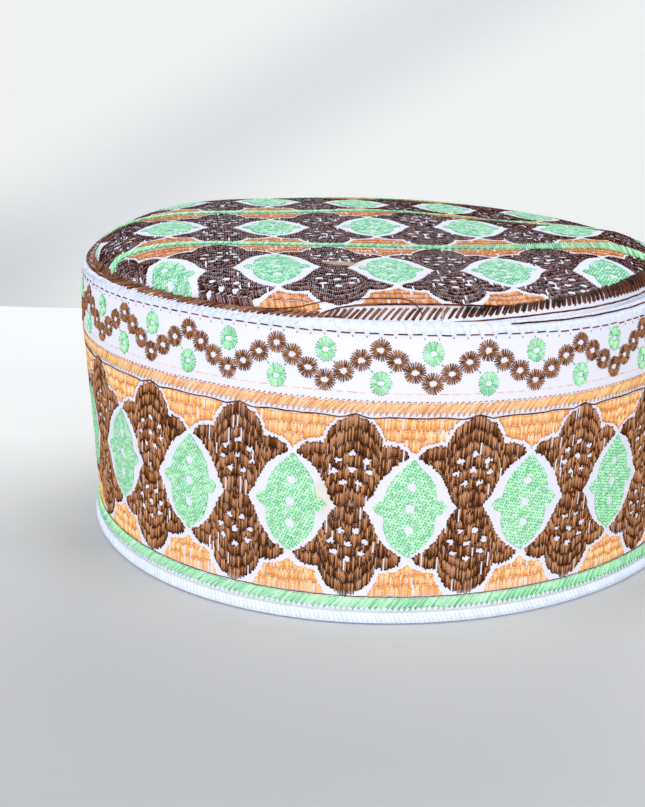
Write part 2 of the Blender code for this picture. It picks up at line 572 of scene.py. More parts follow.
@dataclass(frozen=True)
class Gauge:
    """How a thread lies: its width, how high its crest stands, and how soon it dives at its ends."""

    width: float
    rise: float
    dive: float = 0.35
    sunk: float = 0.12

    def route(self, start: Places, stop: Places) -> tuple[Array, Array, Array]:
        """The points of straight stitches.

        Args:
            start: chart coordinates of the first ends.
            stop: chart coordinates of the second ends.

        Returns:
            Both chart coordinates and the crest's height at each stitch's five points.
        """
        a0, b0, a1, b1 = (np.asarray(value, float) for value in (*start, *stop))
        size = np.maximum(np.hypot(a1 - a0, b1 - b0), 1e-6)
        dive = np.minimum(self.dive / size, 0.3)
        share = np.stack([0.0 * dive, dive, 0.0 * dive + 0.5, 1.0 - dive, 0.0 * dive + 1.0], axis=1)
        stand = np.array([-self.sunk, 0.8 * self.rise, self.rise, 0.8 * self.rise, -self.sunk])
        short = np.minimum(size / (4.0 * self.dive), 1.0)[:, None]
        out = np.where(stand > 0.0, stand * (0.55 + 0.45 * short), stand)
        first = a0[:, None] + share * (a1 - a0)[:, None]
        second = b0[:, None] + share * (b1 - b0)[:, None]
        return first, second, out


@dataclass(frozen=True)
class Teeth:
    """A row of slanting teeth, each a few threads side by side.

    Args:
        foot: chart place of each tooth's foot, along the row.
        low: its foot, across the row.
        head: chart place of its head, along the row.
        high: its head, across the row.
        breadth: how broad a tooth is.
        threads: how many threads a tooth has.
        pinch: share by which the feet are drawn together.
        foot_point: how far a tooth's outer threads fall short of its foot.
        head_point: how far they fall short of its head.
        gauge: how each thread lies.
    """

    foot: Array
    low: Array
    head: Array
    high: Array
    breadth: float
    threads: int
    pinch: float
    foot_point: float
    head_point: float
    gauge: Gauge


@dataclass(frozen=True)
class Outline:
    """A closed shape, the same on both sides of its middle line, given by the points of one side."""

    half: Table

    def holds(self, across: Array, along: Array) -> Array:
        """Tell which points lie inside."""
        mirrored = tuple((-x, y) for x, y in reversed(self.half))
        points = self.half + mirrored
        inside = np.zeros(across.shape, bool)
        for (x0, y0), (x1, y1) in zip(points, points[1:] + points[:1]):
            if y0 == y1:
                continue
            crosses = (y0 > along) != (y1 > along)
            inside ^= crosses & (across < x0 + (along - y0) * (x1 - x0) / (y1 - y0))
        return inside


@dataclass(frozen=True)
class Holes:
    """Small bare ovals in a filled shape."""

    centres: Table
    half_width: float
    half_height: float

    def holds(self, across: Array, along: Array) -> Array:
        """Tell which points lie in a hole."""
        inside = np.zeros(across.shape, bool)
        for x, y in self.centres:
            inside |= ((across - x) / self.half_width) ** 2 + ((along - y) / self.half_height) ** 2 < 1.0
        return inside


@dataclass(frozen=True)
class Cell:
    """One unit of the all-over pattern, in millimetres from the middle of a flower's waist or of an ogive."""

    flower: Outline = Outline(
        (
            (3.3, 0.0), (5.3, 2.9), (6.8, 6.4), (8.7, 9.4), (10.7, 11.4), (12.6, 12.5), (14.1, 13.4),
            (13.0, 15.1), (11.4, 16.0), (9.4, 16.5), (7.4, 16.1), (6.9, 18.0), (5.9, 20.0), (4.5, 21.8),
            (2.6, 22.9), (1.1, 23.7), (0.0, 24.0),
        )
    )
    flower_holes: Holes = Holes(
        (
            (0.0, 14.1), (3.6, 12.3), (-3.6, 12.3), (0.0, 9.9), (4.35, 9.2), (-4.35, 9.2), (1.9, 6.35),
            (-1.9, 6.35),
        ),
        0.95,
        0.75,
    )
    ogive: Outline = Outline(
        (
            (0.0, 13.0), (2.2, 10.7), (4.2, 8.6), (5.7, 6.2), (6.3, 4.0), (6.5, 2.1), (8.3, 1.7),
            (9.2, 0.2), (8.4, -1.2), (6.5, -2.3), (6.3, -5.5), (5.4, -8.2), (3.8, -10.4), (0.0, -13.3),
        )
    )
    ogive_holes: Holes = Holes(((0.0, 0.0), (0.0, 5.8), (0.0, -5.8)), 1.25, 1.15)
    ground_over: Outline = Outline(
        (
            (0.0, 23.4), (10.8, 23.4), (10.4, 22.9), (8.3, 20.5), (7.4, 17.9), (5.0, 17.5), (2.8, 16.9),
            (0.0, 14.6),
        )
    )
    ground_under: Outline = Outline(
        (
            (0.0, -15.2), (1.8, -16.8), (5.0, -17.5), (7.0, -18.0), (7.5, -20.0), (9.7, -23.6),
            (10.2, -24.0), (0.0, -24.0),
        )
    )

    def in_flower(self, across: Array, along: Array) -> Array:
        """Tell which points lie in the brown of the flower, whose lower half mirrors the upper."""
        height = np.abs(along)
        return self.flower.holds(across, height) & ~self.flower_holes.holds(across, height)

    def in_ogive(self, across: Array, along: Array) -> Array:
        """Tell which points lie in the green of the ogive, counted from its own middle."""
        return self.ogive.holds(across, along) & ~self.ogive_holes.holds(across, along)

    def in_ground(self, across: Array, along: Array) -> Array:
        """Tell which points lie in the orange ground over and under the ogive."""
        return self.ground_over.holds(across, along) | self.ground_under.holds(across, along)


@dataclass(frozen=True)
class Fill:
    """How a shape is filled with parallel threads that are cut into tiers.

    Args:
        spacing: from thread to thread.
        tier: length of a stitch.
        ragged: how far the ends of neighbours differ.
        edge: how far the threads' ends stray over the outline.
        missing: share of stitches that are left out, so that slits show the cloth.
        overlap: how far each stitch's ends reach past its cuts, between its neighbours.
        gauge: how each stitch lies.
        rise: for bricked strokes, their climb to the right in radians; their tiers are all counted from the
            same place. None is for upright threads, whose tiers are counted from the shape's ends.
    """

    spacing: float
    tier: float
    ragged: float
    edge: float
    missing: float
    overlap: float
    gauge: Gauge
    rise: float | None = None

    def worked(self, inside: Inside, box: Box, rng: Random) -> tuple[Places, Places]:
        """Fill a shape.

        Args:
            inside: tells which points lie in the shape.
            box: its least and greatest place across the threads, then along them.
            rng: where the raggedness comes from.

        Returns:
            The places across and along of all first ends, and of all last ends.
        """
        if self.rise is None:
            across, low, high = self._stitches(inside, box, rng)
            return (across, low), (across, high)
        cos, sin = math.cos(self.rise), math.sin(self.rise)

        def turned(row: Array, way: Array) -> Array:
            """The same test in coordinates along the strokes."""
            return inside(way * cos - row * sin, way * sin + row * cos)

        row, first, last = self._stitches(turned, box, rng)
        start = first * cos - row * sin, first * sin + row * cos
        return start, (last * cos - row * sin, last * sin + row * cos)

    def _stitches(self, inside: Inside, box: Box, rng: Random) -> tuple[Array, Array, Array]:
        """Cut the threads of a shape into stitches.

        Args:
            inside: tells which points lie in the shape.
            box: the shape's least and greatest place across, then along.
            rng: where the raggedness comes from.

        Returns:
            The place across, and the first and last place along, of each stitch.
        """
        step = 0.12
        threads = np.arange(box[0], box[1], self.spacing)
        samples = np.arange(box[2] - step, box[3] + 2.0 * step, step)
        mask = inside(*np.meshgrid(threads, samples, indexing="ij")).astype(np.int8)
        mask[:, 0] = mask[:, -1] = 0
        change = np.diff(mask, axis=1)
        found = []
        for row, column in enumerate(threads):
            starts = samples[np.flatnonzero(change[row] == 1)] + step / 2.0
            stops = samples[np.flatnonzero(change[row] == -1)] + step / 2.0
            for start, stop in zip(starts, stops):
                top = stops[-1] if start >= 0.0 or self.rise is not None else -starts[0]
                cuts = self._cut(float(start), float(stop), float(top), row, rng)
                found += [(column, *ends) for ends in cuts]
        across, low, high = np.array(found).reshape(-1, 3).T
        return across, low, high

    def _cut(self, start: float, stop: float, top: float, row: int, rng: Random) -> Iterator[Pair]:
        """Cut one thread between two ends.

        Args:
            start: its lower end.
            stop: its upper end.
            top: how far the shape reaches from the waist on this thread.
            row: the thread's number.
            rng: where the raggedness comes from.

        Yields:
            The ends of each stitch.
        """
        count = int((max(abs(start), abs(stop)) + abs(top) + 2.0 * self.tier) / self.tier) + 1
        if self.rise is not None:
            shift = self.tier / 2.0 if row % 2 else 0.0
            marks = [number * self.tier + shift for number in range(-count, count + 1)]
        else:
            marks = [hand * (top - number * self.tier) for number in range(count + 1) for hand in (1.0, -1.0)]
            waist = 0.4 * self.tier
            marks = self._own_half([m for m in marks if abs(m) > waist], top) + [0.0]
        marks = [m + rng.uniform(-self.ragged, self.ragged) for m in sorted(marks)]
        least = 0.3 * self.tier
        ends = [start + self.overlap - rng.uniform(-0.3, 1.0) * self.edge]
        ends += [m for m in marks if start + least < m < stop - least]
        ends.append(stop - self.overlap + rng.uniform(-0.3, 1.0) * self.edge)
        for first, last in zip(ends, ends[1:]):
            if last > first:
                yield first - self.overlap, last + self.overlap

    def _own_half(self, marks: list[float], top: float) -> list[float]:
        """Keep the marks over the waist that are counted from the top, and those under it from the foot."""
        kept = []
        for mark in marks:
            from_end = (abs(top) - abs(mark)) / self.tier
            if abs(from_end - round(from_end)) < 1e-6:
                kept.append(mark)
        return kept


BROWN_FILL = Fill(0.4, 3.2, 0.55, 0.6, 0.024, 0.12, Gauge(0.5, 0.26, 0.2, -0.02))
CROWN_BROWN_FILL = Fill(0.46, 2.2, 0.3, 0.3, 0.025, 0.03, Gauge(0.54, 0.24, 0.25, 0.0))
ORANGE_FILL = Fill(0.42, 2.8, 0.6, 0.5, 0.025, 0.04, Gauge(0.49, 0.28, 0.22, 0.0))
CROWN_ORANGE_FILL = Fill(0.46, 2.4, 0.3, 0.3, 0.02, 0.02, Gauge(0.53, 0.26, 0.25, 0.0))
GREEN_FILL = Fill(0.5, 1.25, 0.2, 0.2, 0.0, 0.04, Gauge(0.52, 0.3, 0.1, -0.1), rise=math.radians(24.0))
OGIVE_BOX = (-14.5, 14.5, -14.5, 14.5)
OUTLINE_RUN = Gauge(0.46, 0.38, 0.15, -0.15)
SATIN = Gauge(0.41, 0.36, 0.3, 0.0)
DOT = Gauge(0.44, 0.18, 0.1, -0.06)
NEEDLE_DOT = Gauge(0.5, 0.2, 0.1, -0.06)
SPOKE = Gauge(0.45, 0.42, 0.3, 0.0)


# Meshes


def triangles_mesh(name: str, verts: Array, tris: Array) -> bpy.types.Mesh:
    """Make a smooth mesh.

    Args:
        name: the mesh's name.
        verts: points in millimetres.
        tris: three point numbers for each triangle.

    Returns:
        The mesh, in metres.
    """
    mesh = bpy.data.meshes.new(name)
    mesh.from_pydata((verts * MM).astype(np.float32), [], tris.astype(np.int32))
    mesh.shade_smooth()
    mesh.update()
    return mesh


def add_piece(mesh: bpy.types.Mesh, material: Material, slot: Slot) -> bpy.types.Object:
    """Put a mesh in the scene as a piece of the cap.

    Args:
        mesh: the piece's mesh, whose name the piece takes.
        material: its finish.
        slot: the record's slot; not used.

    Returns:
        The piece, which rides on the cap.
    """
    mesh.materials.append(material)
    piece = bpy.data.objects.new(mesh.name, mesh)
    bpy.context.scene.collection.objects.link(piece)
    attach(piece, "root")
    LOG.info("%s: %d triangles", piece.name, sum(len(p.vertices) - 2 for p in mesh.polygons))
    return piece


def ring_mesh(name: str, rows: list[Array], closed: bool) -> bpy.types.Mesh:
    """Skin a surface that goes right round.

    Args:
        name: the mesh's name.
        rows: rings of points, each with the same number of points.
        closed: whether the last row joins the first.

    Returns:
        The mesh.
    """
    count = len(rows[0])
    verts = np.concatenate(rows)
    tris = []
    step = np.arange(count)
    after = (step + 1) % count
    pairs = len(rows) if closed else len(rows) - 1
    for row in range(pairs):
        low, high = row * count, ((row + 1) % len(rows)) * count
        tris.append(np.stack([low + step, low + after, high + after], axis=1))
        tris.append(np.stack([low + step, high + after, high + step], axis=1))
    mesh = triangles_mesh(name, verts, np.concatenate(tris))
    work = bmesh.new()
    work.from_mesh(mesh)
    bmesh.ops.remove_doubles(work, verts=work.verts, dist=1e-7)
    bmesh.ops.recalc_face_normals(work, faces=work.faces)
    work.to_mesh(mesh)
    work.free()
    return mesh


@dataclass
class ThreadPiece:
    """Threads of one finish, joined into one mesh.

    Each thread is a ridge with a row of points on each foot and one on its crest, and both its ends go down
    into the cloth. The mesh's thread attribute gives the distance along, the place across and the tone. Its
    ends attribute gives the distance from the nearer end and the share of the way from first end to last.

    Args:
        name: the piece's name.
        chart: the chart that the threads are laid on.
        rng: where the differences between them come from.
    """

    name: str
    chart: Chart
    rng: Random
    verts: list[Array] = field(default_factory=list)
    tris: list[Array] = field(default_factory=list)
    thread: list[Array] = field(default_factory=list)
    ends: list[Array] = field(default_factory=list)
    total: int = 0

    def lay(self, route: Places, out: Array, width: Array | float, tone: Array, foot: float = -0.05) -> None:
        """Lay threads on the chart.

        Args:
            route: the two chart coordinates of each thread's points, a row for each thread.
            out: height of the crest over the cloth at each point.
            width: each thread's width.
            tone: each thread's tone, from -1, dark, to 1, light.
            foot: height of the thread's feet over the cloth.
        """
        first, second = np.broadcast_arrays(*route)
        count, points = first.shape
        if count == 0:
            return
        out = np.broadcast_to(out, first.shape)
        half = np.broadcast_to(np.reshape(np.asarray(width, float), (-1, 1, 1)), (count, 1, 1)) / 2.0
        crest = self.chart.place(first, second, out)
        base = self.chart.place(first, second, np.broadcast_to(foot, first.shape))
        normal = self.chart.place(first, second, out + 1.0) - crest
        side = np.cross(np.gradient(crest, axis=1), normal)
        side /= np.maximum(np.linalg.norm(side, axis=-1, keepdims=True), 1e-9)
        left, right = base - side * half, base + side * half
        body = np.stack([left[:, 1:-1], crest[:, 1:-1], right[:, 1:-1]], axis=2).reshape(count, -1, 3)
        verts = np.concatenate([crest[:, :1], body, crest[:, -1:]], axis=1)
        run = np.linalg.norm(np.diff(crest, axis=1), axis=-1)
        reach = np.concatenate([np.zeros((count, 1)), np.cumsum(run, axis=1)], axis=1)
        self._keep(verts, reach, np.broadcast_to(tone, (count,)), points)

    def _keep(self, verts: Array, reach: Array, tone: Array, points: int) -> None:
        """Store a batch of threads that have the same number of points.

        Args:
            verts: each thread's mesh points.
            reach: distance along the thread at each of its route's points.
            tone: each thread's tone.
            points: how many points the route has.
        """
        count, per = verts.shape[0], verts.shape[1]
        rows = points - 2
        pattern = [(0, 1, 2), (0, 2, 3)]
        for row in range(rows - 1):
            a, b = 1 + 3 * row, 4 + 3 * row
            pattern += [(a, b, b + 1), (a, b + 1, a + 1), (a + 1, b + 1, b + 2), (a + 1, b + 2, a + 2)]
        last = 1 + 3 * (rows - 1)
        pattern += [(last, per - 1, last + 1), (last + 1, per - 1, last + 2)]
        starts = self.total + np.arange(count) * per
        self.tris.append((starts[:, None, None] + np.array(pattern)[None]).reshape(-1, 3))
        self.verts.append(verts.reshape(-1, 3))
        along = np.concatenate([reach[:, :1], np.repeat(reach[:, 1:-1], 3, axis=1), reach[:, -1:]], axis=1)
        across = np.concatenate([[0.0], np.tile([-1.0, 0.0, 1.0], rows), [0.0]])
        info = np.stack(np.broadcast_arrays(along, across[None], tone[:, None]), axis=-1)
        self.thread.append(info.reshape(-1, 3))
        nearer = np.minimum(along, reach[:, -1:] - along)
        share = along / np.maximum(reach[:, -1:], 1e-6)
        self.ends.append(np.stack([nearer, share, 0.0 * share], axis=-1).reshape(-1, 3))
        self.total += count * per

    def stitches(
        self, gauge: Gauge, start: Places, stop: Places, lift: float = 0.0, missing: float = 0.0
    ) -> None:
        """Lay straight stitches with slightly different widths and tones.

        Args:
            gauge: how each lies.
            start: chart coordinates of the first ends.
            stop: chart coordinates of the second ends.
            lift: how far they stand over the cloth, where they cross other threads.
            missing: share of them that are left out.
        """
        first, second, out = gauge.route(start, stop)
        kept = self.rng.random(len(first)) >= missing
        first, second, out = first[kept], second[kept], out[kept]
        count = len(first)
        width = gauge.width * self.rng.uniform(0.9, 1.1, count)
        tone = self.rng.uniform(-1.0, 1.0, count)
        out = out * self.rng.uniform(0.85, 1.15, count)[:, None] + lift
        self.lay((first, second), out, width, tone, foot=-0.05 + lift)

    def fill(self, fill: Fill, inside: Inside, box: Box, spot: Callable[[Array, Array], Places]) -> None:
        """Fill a shape with stitches.

        Args:
            fill: how it is filled.
            inside: tells which points lie in it.
            box: its least and greatest place across the threads, then along them.
            spot: gives the chart place of the shape's points.
        """
        start, stop = fill.worked(inside, box, self.rng)
        self.stitches(fill.gauge, spot(*start), spot(*stop), missing=fill.missing)

    def satin(self, teeth: Teeth, lift: float = 0.0) -> None:
        """Lay a row of teeth, so far over the cloth."""
        shape = teeth.foot.shape
        for number in range(teeth.threads):
            off = (number + 0.5) / teeth.threads - 0.5
            sway = self.rng.uniform(-0.06, 0.06, shape)
            head = teeth.head + off * teeth.breadth + sway
            foot = teeth.foot + off * teeth.breadth * (1.0 - teeth.pinch) + sway
            low = teeth.low + teeth.foot_point * abs(2.0 * off) + self.rng.uniform(-0.15, 0.15, shape)
            high = teeth.high - teeth.head_point * abs(2.0 * off) + self.rng.uniform(-0.15, 0.15, shape)
            self.stitches(teeth.gauge, (foot, low), (head, high), lift)

    def chain(self, along: Array, over: Array | float, lift: float = 0.0) -> None:
        """Lay a running line, one stitch from each place to the next.

        Args:
            along: first chart coordinate of its places.
            over: their second chart coordinate.
            lift: how far the line stands over the cloth.
        """
        places = np.stack([along, np.broadcast_to(over, along.shape)], axis=1)
        way = places + self.rng.uniform(-0.06, 0.06, places.shape)
        step = np.diff(way, axis=0)
        past = 0.12 * step / np.maximum(np.linalg.norm(step, axis=1, keepdims=True), 1e-6)
        start, stop = way[:-1] - past, way[1:] + past
        self.stitches(OUTLINE_RUN, (start[:, 0], start[:, 1]), (stop[:, 0], stop[:, 1]), lift)

    def build(self, material: Material, slot: Slot) -> bpy.types.Object:
        """Make the piece.

        Args:
            material: the thread's finish.
            slot: the record's slot; not used.

        Returns:
            The piece.
        """
        mesh = triangles_mesh(self.name, np.concatenate(self.verts), np.concatenate(self.tris))
        for name, values in (("thread", self.thread), ("ends", self.ends)):
            info = mesh.attributes.new(name, "FLOAT_VECTOR", "POINT")
            info.data.foreach_set("vector", np.concatenate(values).astype(np.float32).ravel())
        return add_piece(mesh, material, slot)


# Finishes


def to_linear(colour: str) -> tuple[float, float, float, float]:
    """Turn an sRGB hex colour into linear light, with full cover."""
    parts = [int(colour[i : i + 2], 16) / 255.0 for i in (1, 3, 5)]
    linear = [c / 12.92 if c <= 0.04045 else ((c + 0.055) / 1.055) ** 2.4 for c in parts]
    return linear[0], linear[1], linear[2], 1.0


def add_node(tree: Tree, kind: str, inputs: Inputs | None = None, **settings: object) -> bpy.types.Node:
    """Add a node.

    Args:
        tree: the node tree.
        kind: the node's type, without the prefix that all of them share.
        inputs: for each input, by name or number, a value or the output that feeds it.
        settings: the node's own properties.

    Returns:
        The node.
    """
    node = tree.nodes.new("ShaderNode" + kind)
    for name, value in settings.items():
        setattr(node, name, value)
    for key, value in (inputs or {}).items():
        socket = node.inputs[key]
        if isinstance(value, Socket):
            tree.links.new(value, socket)
        else:
            socket.default_value = value
    return node


def blank_material(name: str) -> tuple[Material, Tree]:
    """A material with an empty node tree."""
    material = bpy.data.materials.new(name)
    material.use_nodes = True
    material.node_tree.nodes.clear()
    return material, material.node_tree


def ramp(node: bpy.types.Node, stops: list[tuple[float, str]]) -> None:
    """Set a colour ramp's stops, from sRGB hex colours."""
    elements = node.color_ramp.elements
    while len(elements) < len(stops):
        elements.new(1.0)
    for element, (place, colour) in zip(elements, stops):
        element.position = place
        element.color = to_linear(colour)


@dataclass(frozen=True)
class StainAndPaintedShade:
    """A soft-edged oval of another colour: a real pale brown stain on the cap, or a painted shade on the
    stage.

    Args:
        centre: its place in the row frame, in millimetres.
        reach: its half size along each axis, in millimetres.
        colour: the colour that it tints towards.
        strength: how strongly it tints.
    """

    centre: tuple[float, float, float]
    reach: tuple[float, float, float]
    colour: str
    strength: float

    def tint(self, tree: Tree, colour: Socket) -> Socket:
        """Tint a colour inside the oval: a real stain on the cap, a painted shade on the stage.

        Args:
            tree: the node tree.
            colour: the colour outside the oval.

        Returns:
            The tinted colour.
        """
        coordinates = add_node(tree, "TexCoord")
        off = add_node(
            tree,
            "Mapping",
            {
                "Vector": coordinates.outputs["Object"],
                "Location": [-c / r for c, r in zip(self.centre, self.reach)],
                "Scale": [1.0 / (r * MM) for r in self.reach],
            },
            vector_type="POINT",
        )
        distance = add_node(tree, "VectorMath", {0: off.outputs[0]}, operation="LENGTH")
        cover = add_node(
            tree,
            "MapRange",
            {"Value": distance.outputs["Value"], "From Min": 1.0, "From Max": 0.4, "To Max": self.strength},
            interpolation_type="SMOOTHSTEP",
        )
        mixed = add_node(
            tree, "Mix", {0: cover.outputs[0], 6: colour, 7: to_linear(self.colour)}, data_type="RGBA"
        )
        return mixed.outputs[2]


CROWN_STAIN = StainAndPaintedShade((-12.0, -57.5, 86.0), (6.5, 3.0, 4.0), "#CDBBA2", 0.75)
BAND_STAIN = StainAndPaintedShade((-14.4, -92.0, 33.5), (3.2, 8.0, 7.0), "#DCCFC0", 0.7)


@dataclass(frozen=True)
class Rayon:
    """Two plies spun tight, worked by machine: dyed viscose rayon, or the seam's and hem's white cotton.

    Its colour is painted with a soft silky highlight on each stitch's crest, and with shade, a dark dot,
    where the stitch dives.

    Args:
        name: the material's name.
        painted_hole_shade: colour of the painted shade at the ends, where the stitch dives.
        body: colour of the stitch.
        crest: colour of the lightest crests, where a random light tone meets the painted highlight.
        painted_hole_shade_length: how far from its end a stitch is darkened by painted shade, in millimetres.
        hole: how far from its end the painted shade is darkest.
        painted_end_light: how much lighter its last end is than its first, as painted light and shade along
            the stitch.
        roughness: 0.55 for the rayon, duller for the cotton and for the worn threads of the crown.
        specular: how bright its gleam is, half being plain glass's.
        unevenness: how far the tones of single stitches differ.
        flank_shade: how far a thread's flanks are darker than its crest.
        ply_length: from one turn of the plies to the next, in millimetres.
        ply_relief: how deep the groove between the plies is, in millimetres.
        stain: the stain on it, if any.
    """

    name: str
    painted_hole_shade: str
    body: str
    crest: str
    painted_hole_shade_length: float = 0.9
    hole: float = 0.0
    painted_end_light: float = 0.4
    roughness: float = 0.55
    specular: float = 0.06
    unevenness: float = 0.3
    flank_shade: float = 0.55
    ply_length: float = 0.9
    ply_relief: float = 0.03
    stain: StainAndPaintedShade | None = None

    def material(self) -> Material:
        """Make the material."""
        material, tree = blank_material(self.name)
        info = add_node(tree, "Attribute", attribute_name="thread")
        parts = add_node(tree, "SeparateXYZ", {0: info.outputs["Vector"]})
        info = add_node(tree, "Attribute", attribute_name="ends")
        ends = add_node(tree, "SeparateXYZ", {0: info.outputs["Vector"]})
        # Painted shade: the colour darkens towards each stitch's ends, where it dives into the cloth.
        lit = add_node(
            tree,
            "MapRange",
            {
                "Value": ends.outputs["X"],
                "From Min": self.hole,
                "From Max": self.painted_hole_shade_length,
                "To Min": -0.05 - self.painted_end_light / 2.0,
                "To Max": 0.62 - self.painted_end_light / 2.0,
            },
            interpolation_type="SMOOTHSTEP",
        )
        side = add_node(tree, "Math", {0: parts.outputs["Y"], 1: parts.outputs["Y"]}, operation="MULTIPLY")
        grain = add_node(tree, "TexCoord")
        mottle = add_node(
            tree, "TexNoise", {"Vector": grain.outputs["Object"], "Scale": 1.0 / (1.1 * MM), "Detail": 2.0}
        )
        place = lit.outputs["Result"]
        # Painted light towards the last end, the stitch's random tone, painted shade on the flanks, and a
        # random mottle.
        for value, weight in (
            (ends.outputs["Y"], self.painted_end_light),
            (parts.outputs["Z"], self.unevenness),
            (side.outputs[0], -self.flank_shade),
            (mottle.outputs["Fac"], 0.25),
        ):
            terms = {0: value, 1: weight, 2: place}
            place = add_node(tree, "Math", terms, operation="MULTIPLY_ADD").outputs[0]
        # The ramp runs from the painted shade of holes and flanks, through the thread's own colour, to the
        # painted highlight on the crests; random tone moves stitches along it.
        colour = add_node(tree, "ValToRGB", {0: place})
        ramp(colour, [(0.08, self.painted_hole_shade), (0.5, self.body), (1.0, self.crest)])
        worn = self.stain.tint(tree, colour.outputs[0]) if self.stain else colour.outputs[0]
        shader = add_node(
            tree,
            "BsdfPrincipled",
            {
                "Base Color": worn,
                "Roughness": self.roughness,
                "Specular IOR Level": self.specular,
                "Normal": self._plies(tree, parts),
            },
        )
        add_node(tree, "OutputMaterial", {0: shader.outputs[0]})
        return material

    def _plies(self, tree: Tree, parts: bpy.types.Node) -> Socket:
        """The twist of the two plies, as slanted ridges along the thread."""
        slant = add_node(
            tree,
            "Math",
            {0: parts.outputs["Y"], 1: 0.35 * self.ply_length, 2: parts.outputs["X"]},
            operation="MULTIPLY_ADD",
        )
        turns = add_node(
            tree, "Math", {0: slant.outputs[0], 1: FULL_TURN / self.ply_length}, operation="MULTIPLY"
        )
        height = add_node(tree, "Math", {0: turns.outputs[0]}, operation="SINE")
        bump = add_node(
            tree, "Bump", {"Strength": 0.5, "Distance": self.ply_relief * MM, "Height": height.outputs[0]}
        )
        return bump.outputs[0]


@dataclass(frozen=True)
class BleachedCotton:
    """Plain-woven cotton, bleached blue-white and stiffened.

    It gives the eye a matt cold white with a fine even grain, and shallow puckers where stitches draw it.

    Args:
        name: the material's name.
        body: the cloth's colour.
        shade: its colour in the hollows of the weave, a painted shade.
        yarn: spacing of the yarns in millimetres.
        relief: height of the weave in millimetres.
        pucker: height of the puckers.
        pucker_size: from pucker to pucker.
        round_wall: whether the cloth stands round the axis, or else lies flat.
        roughness: for matt cotton typically 0.8 to 0.95.
        stain: the stain on it, if any.
    """

    name: str
    body: str
    shade: str
    yarn: float = 0.42
    relief: float = 0.05
    pucker: float = 0.35
    pucker_size: float = 7.0
    round_wall: bool = True
    roughness: float = 0.85
    stain: StainAndPaintedShade | None = None

    def material(self, radius: float) -> Material:
        """Make the material for cloth at a distance from the cap's axis, in millimetres."""
        material, tree = blank_material(self.name)
        coordinates = add_node(tree, "TexCoord")
        parts = add_node(tree, "SeparateXYZ", {0: coordinates.outputs["Object"]})
        warp, weft = self._yarns(tree, parts, radius)
        weave = add_node(tree, "Math", {0: warp, 1: weft}, operation="MULTIPLY")
        swell = add_node(
            tree,
            "TexNoise",
            {"Vector": coordinates.outputs["Object"], "Scale": 1.0 / (self.pucker_size * MM), "Detail": 1.0},
        )
        # Painted shade in the hollows of the weave.
        shade = add_node(tree, "MapRange", {"Value": weave.outputs[0], "From Min": -1.0, "From Max": 1.0})
        colour = add_node(
            tree,
            "Mix",
            {0: shade.outputs[0], 6: to_linear(self.shade), 7: to_linear(self.body)},
            data_type="RGBA",
        )
        puckers = add_node(
            tree, "Bump", {"Strength": 0.6, "Distance": self.pucker * MM, "Height": swell.outputs["Fac"]}
        )
        bump = add_node(
            tree,
            "Bump",
            {
                "Strength": 0.8,
                "Distance": self.relief * MM,
                "Height": weave.outputs[0],
                "Normal": puckers.outputs[0],
            },
        )
        worn = self.stain.tint(tree, colour.outputs[2]) if self.stain else colour.outputs[2]
        shader = add_node(
            tree,
            "BsdfPrincipled",
            {
                "Base Color": worn,
                "Roughness": self.roughness,
                "Specular IOR Level": 0.2,
                "Sheen Weight": 0.1,
                "Normal": bump.outputs[0],
            },
        )
        add_node(tree, "OutputMaterial", {0: shader.outputs[0]})
        return material

    def _yarns(self, tree: Tree, parts: bpy.types.Node, radius: float) -> tuple[Socket, Socket]:
        """The waves of the two sets of yarns.

        Args:
            tree: the node tree.
            parts: the object coordinates, taken apart.
            radius: the wall's distance from the axis.

        Returns:
            A wave from -1 to 1 across each set.
        """
        along, over = parts.outputs["X"], parts.outputs["Y"]
        along_rate = over_rate = math.pi / (self.yarn * MM)
        if self.round_wall:
            turn = add_node(
                tree, "Math", {0: parts.outputs["Y"], 1: parts.outputs["X"]}, operation="ARCTAN2"
            )
            along, over = turn.outputs[0], parts.outputs["Z"]
            along_rate = float(2 * round(math.pi * radius / self.yarn / 2))
        waves = []
        for source, rate in ((along, along_rate), (over, over_rate)):
            phase = add_node(tree, "Math", {0: source, 1: rate}, operation="MULTIPLY")
            waves.append(add_node(tree, "Math", {0: phase.outputs[0]}, operation="SINE").outputs[0])
        return waves[0], waves[1]


# In each thread finish the first colour is the painted shade where the stitches dive, the second the thread's
# own colour, and the third the painted highlight on the lightest crests.
BROWN = Rayon(
    "rayon_brown_machine_worked",
    "#260F05",
    "#74421C",
    "#CC9670",
    painted_end_light=0.6,
    unevenness=0.36,
    flank_shade=0.8,
)
ROSETTE_BROWN = Rayon(
    "rayon_brown_eyelet", "#240D07", "#7C4A2A", "#B48462", 0.5, painted_end_light=0.1, unevenness=0.3, flank_shade=0.85
)
# The band's brown thread made darker as painted shade on the crown's top; its crest colour is a painted
# reflection of the bright backdrop on the crests, and its stain is real.
CROWN_BROWN_PAINTED_SHADE = Rayon(
    "rayon_brown_crown_painted_shade",
    "#160604",
    "#48251D",
    "#A07E7C",
    specular=0.0,
    roughness=0.8,
    unevenness=0.3,
    stain=CROWN_STAIN,
)
BORDER_BROWN = Rayon(
    "rayon_brown_border_machine_worked", "#1E0E08", "#623824", "#A27458", 0.6, painted_end_light=0.15, unevenness=0.3
)
BORDER_DARK = Rayon(
    "rayon_dark_brown_border_machine_worked", "#100401", "#240E07", "#6A4232", 0.3, painted_end_light=-0.5
)
RUN_BROWN = Rayon("rayon_brown_running_stitch", "#240A06", "#4E2018", "#84503F", 0.2, painted_end_light=0.0)
ORANGE = Rayon("rayon_orange_machine_worked", "#CE8038", "#F1AA5C", "#FFE4BC", painted_end_light=0.45, unevenness=0.26)
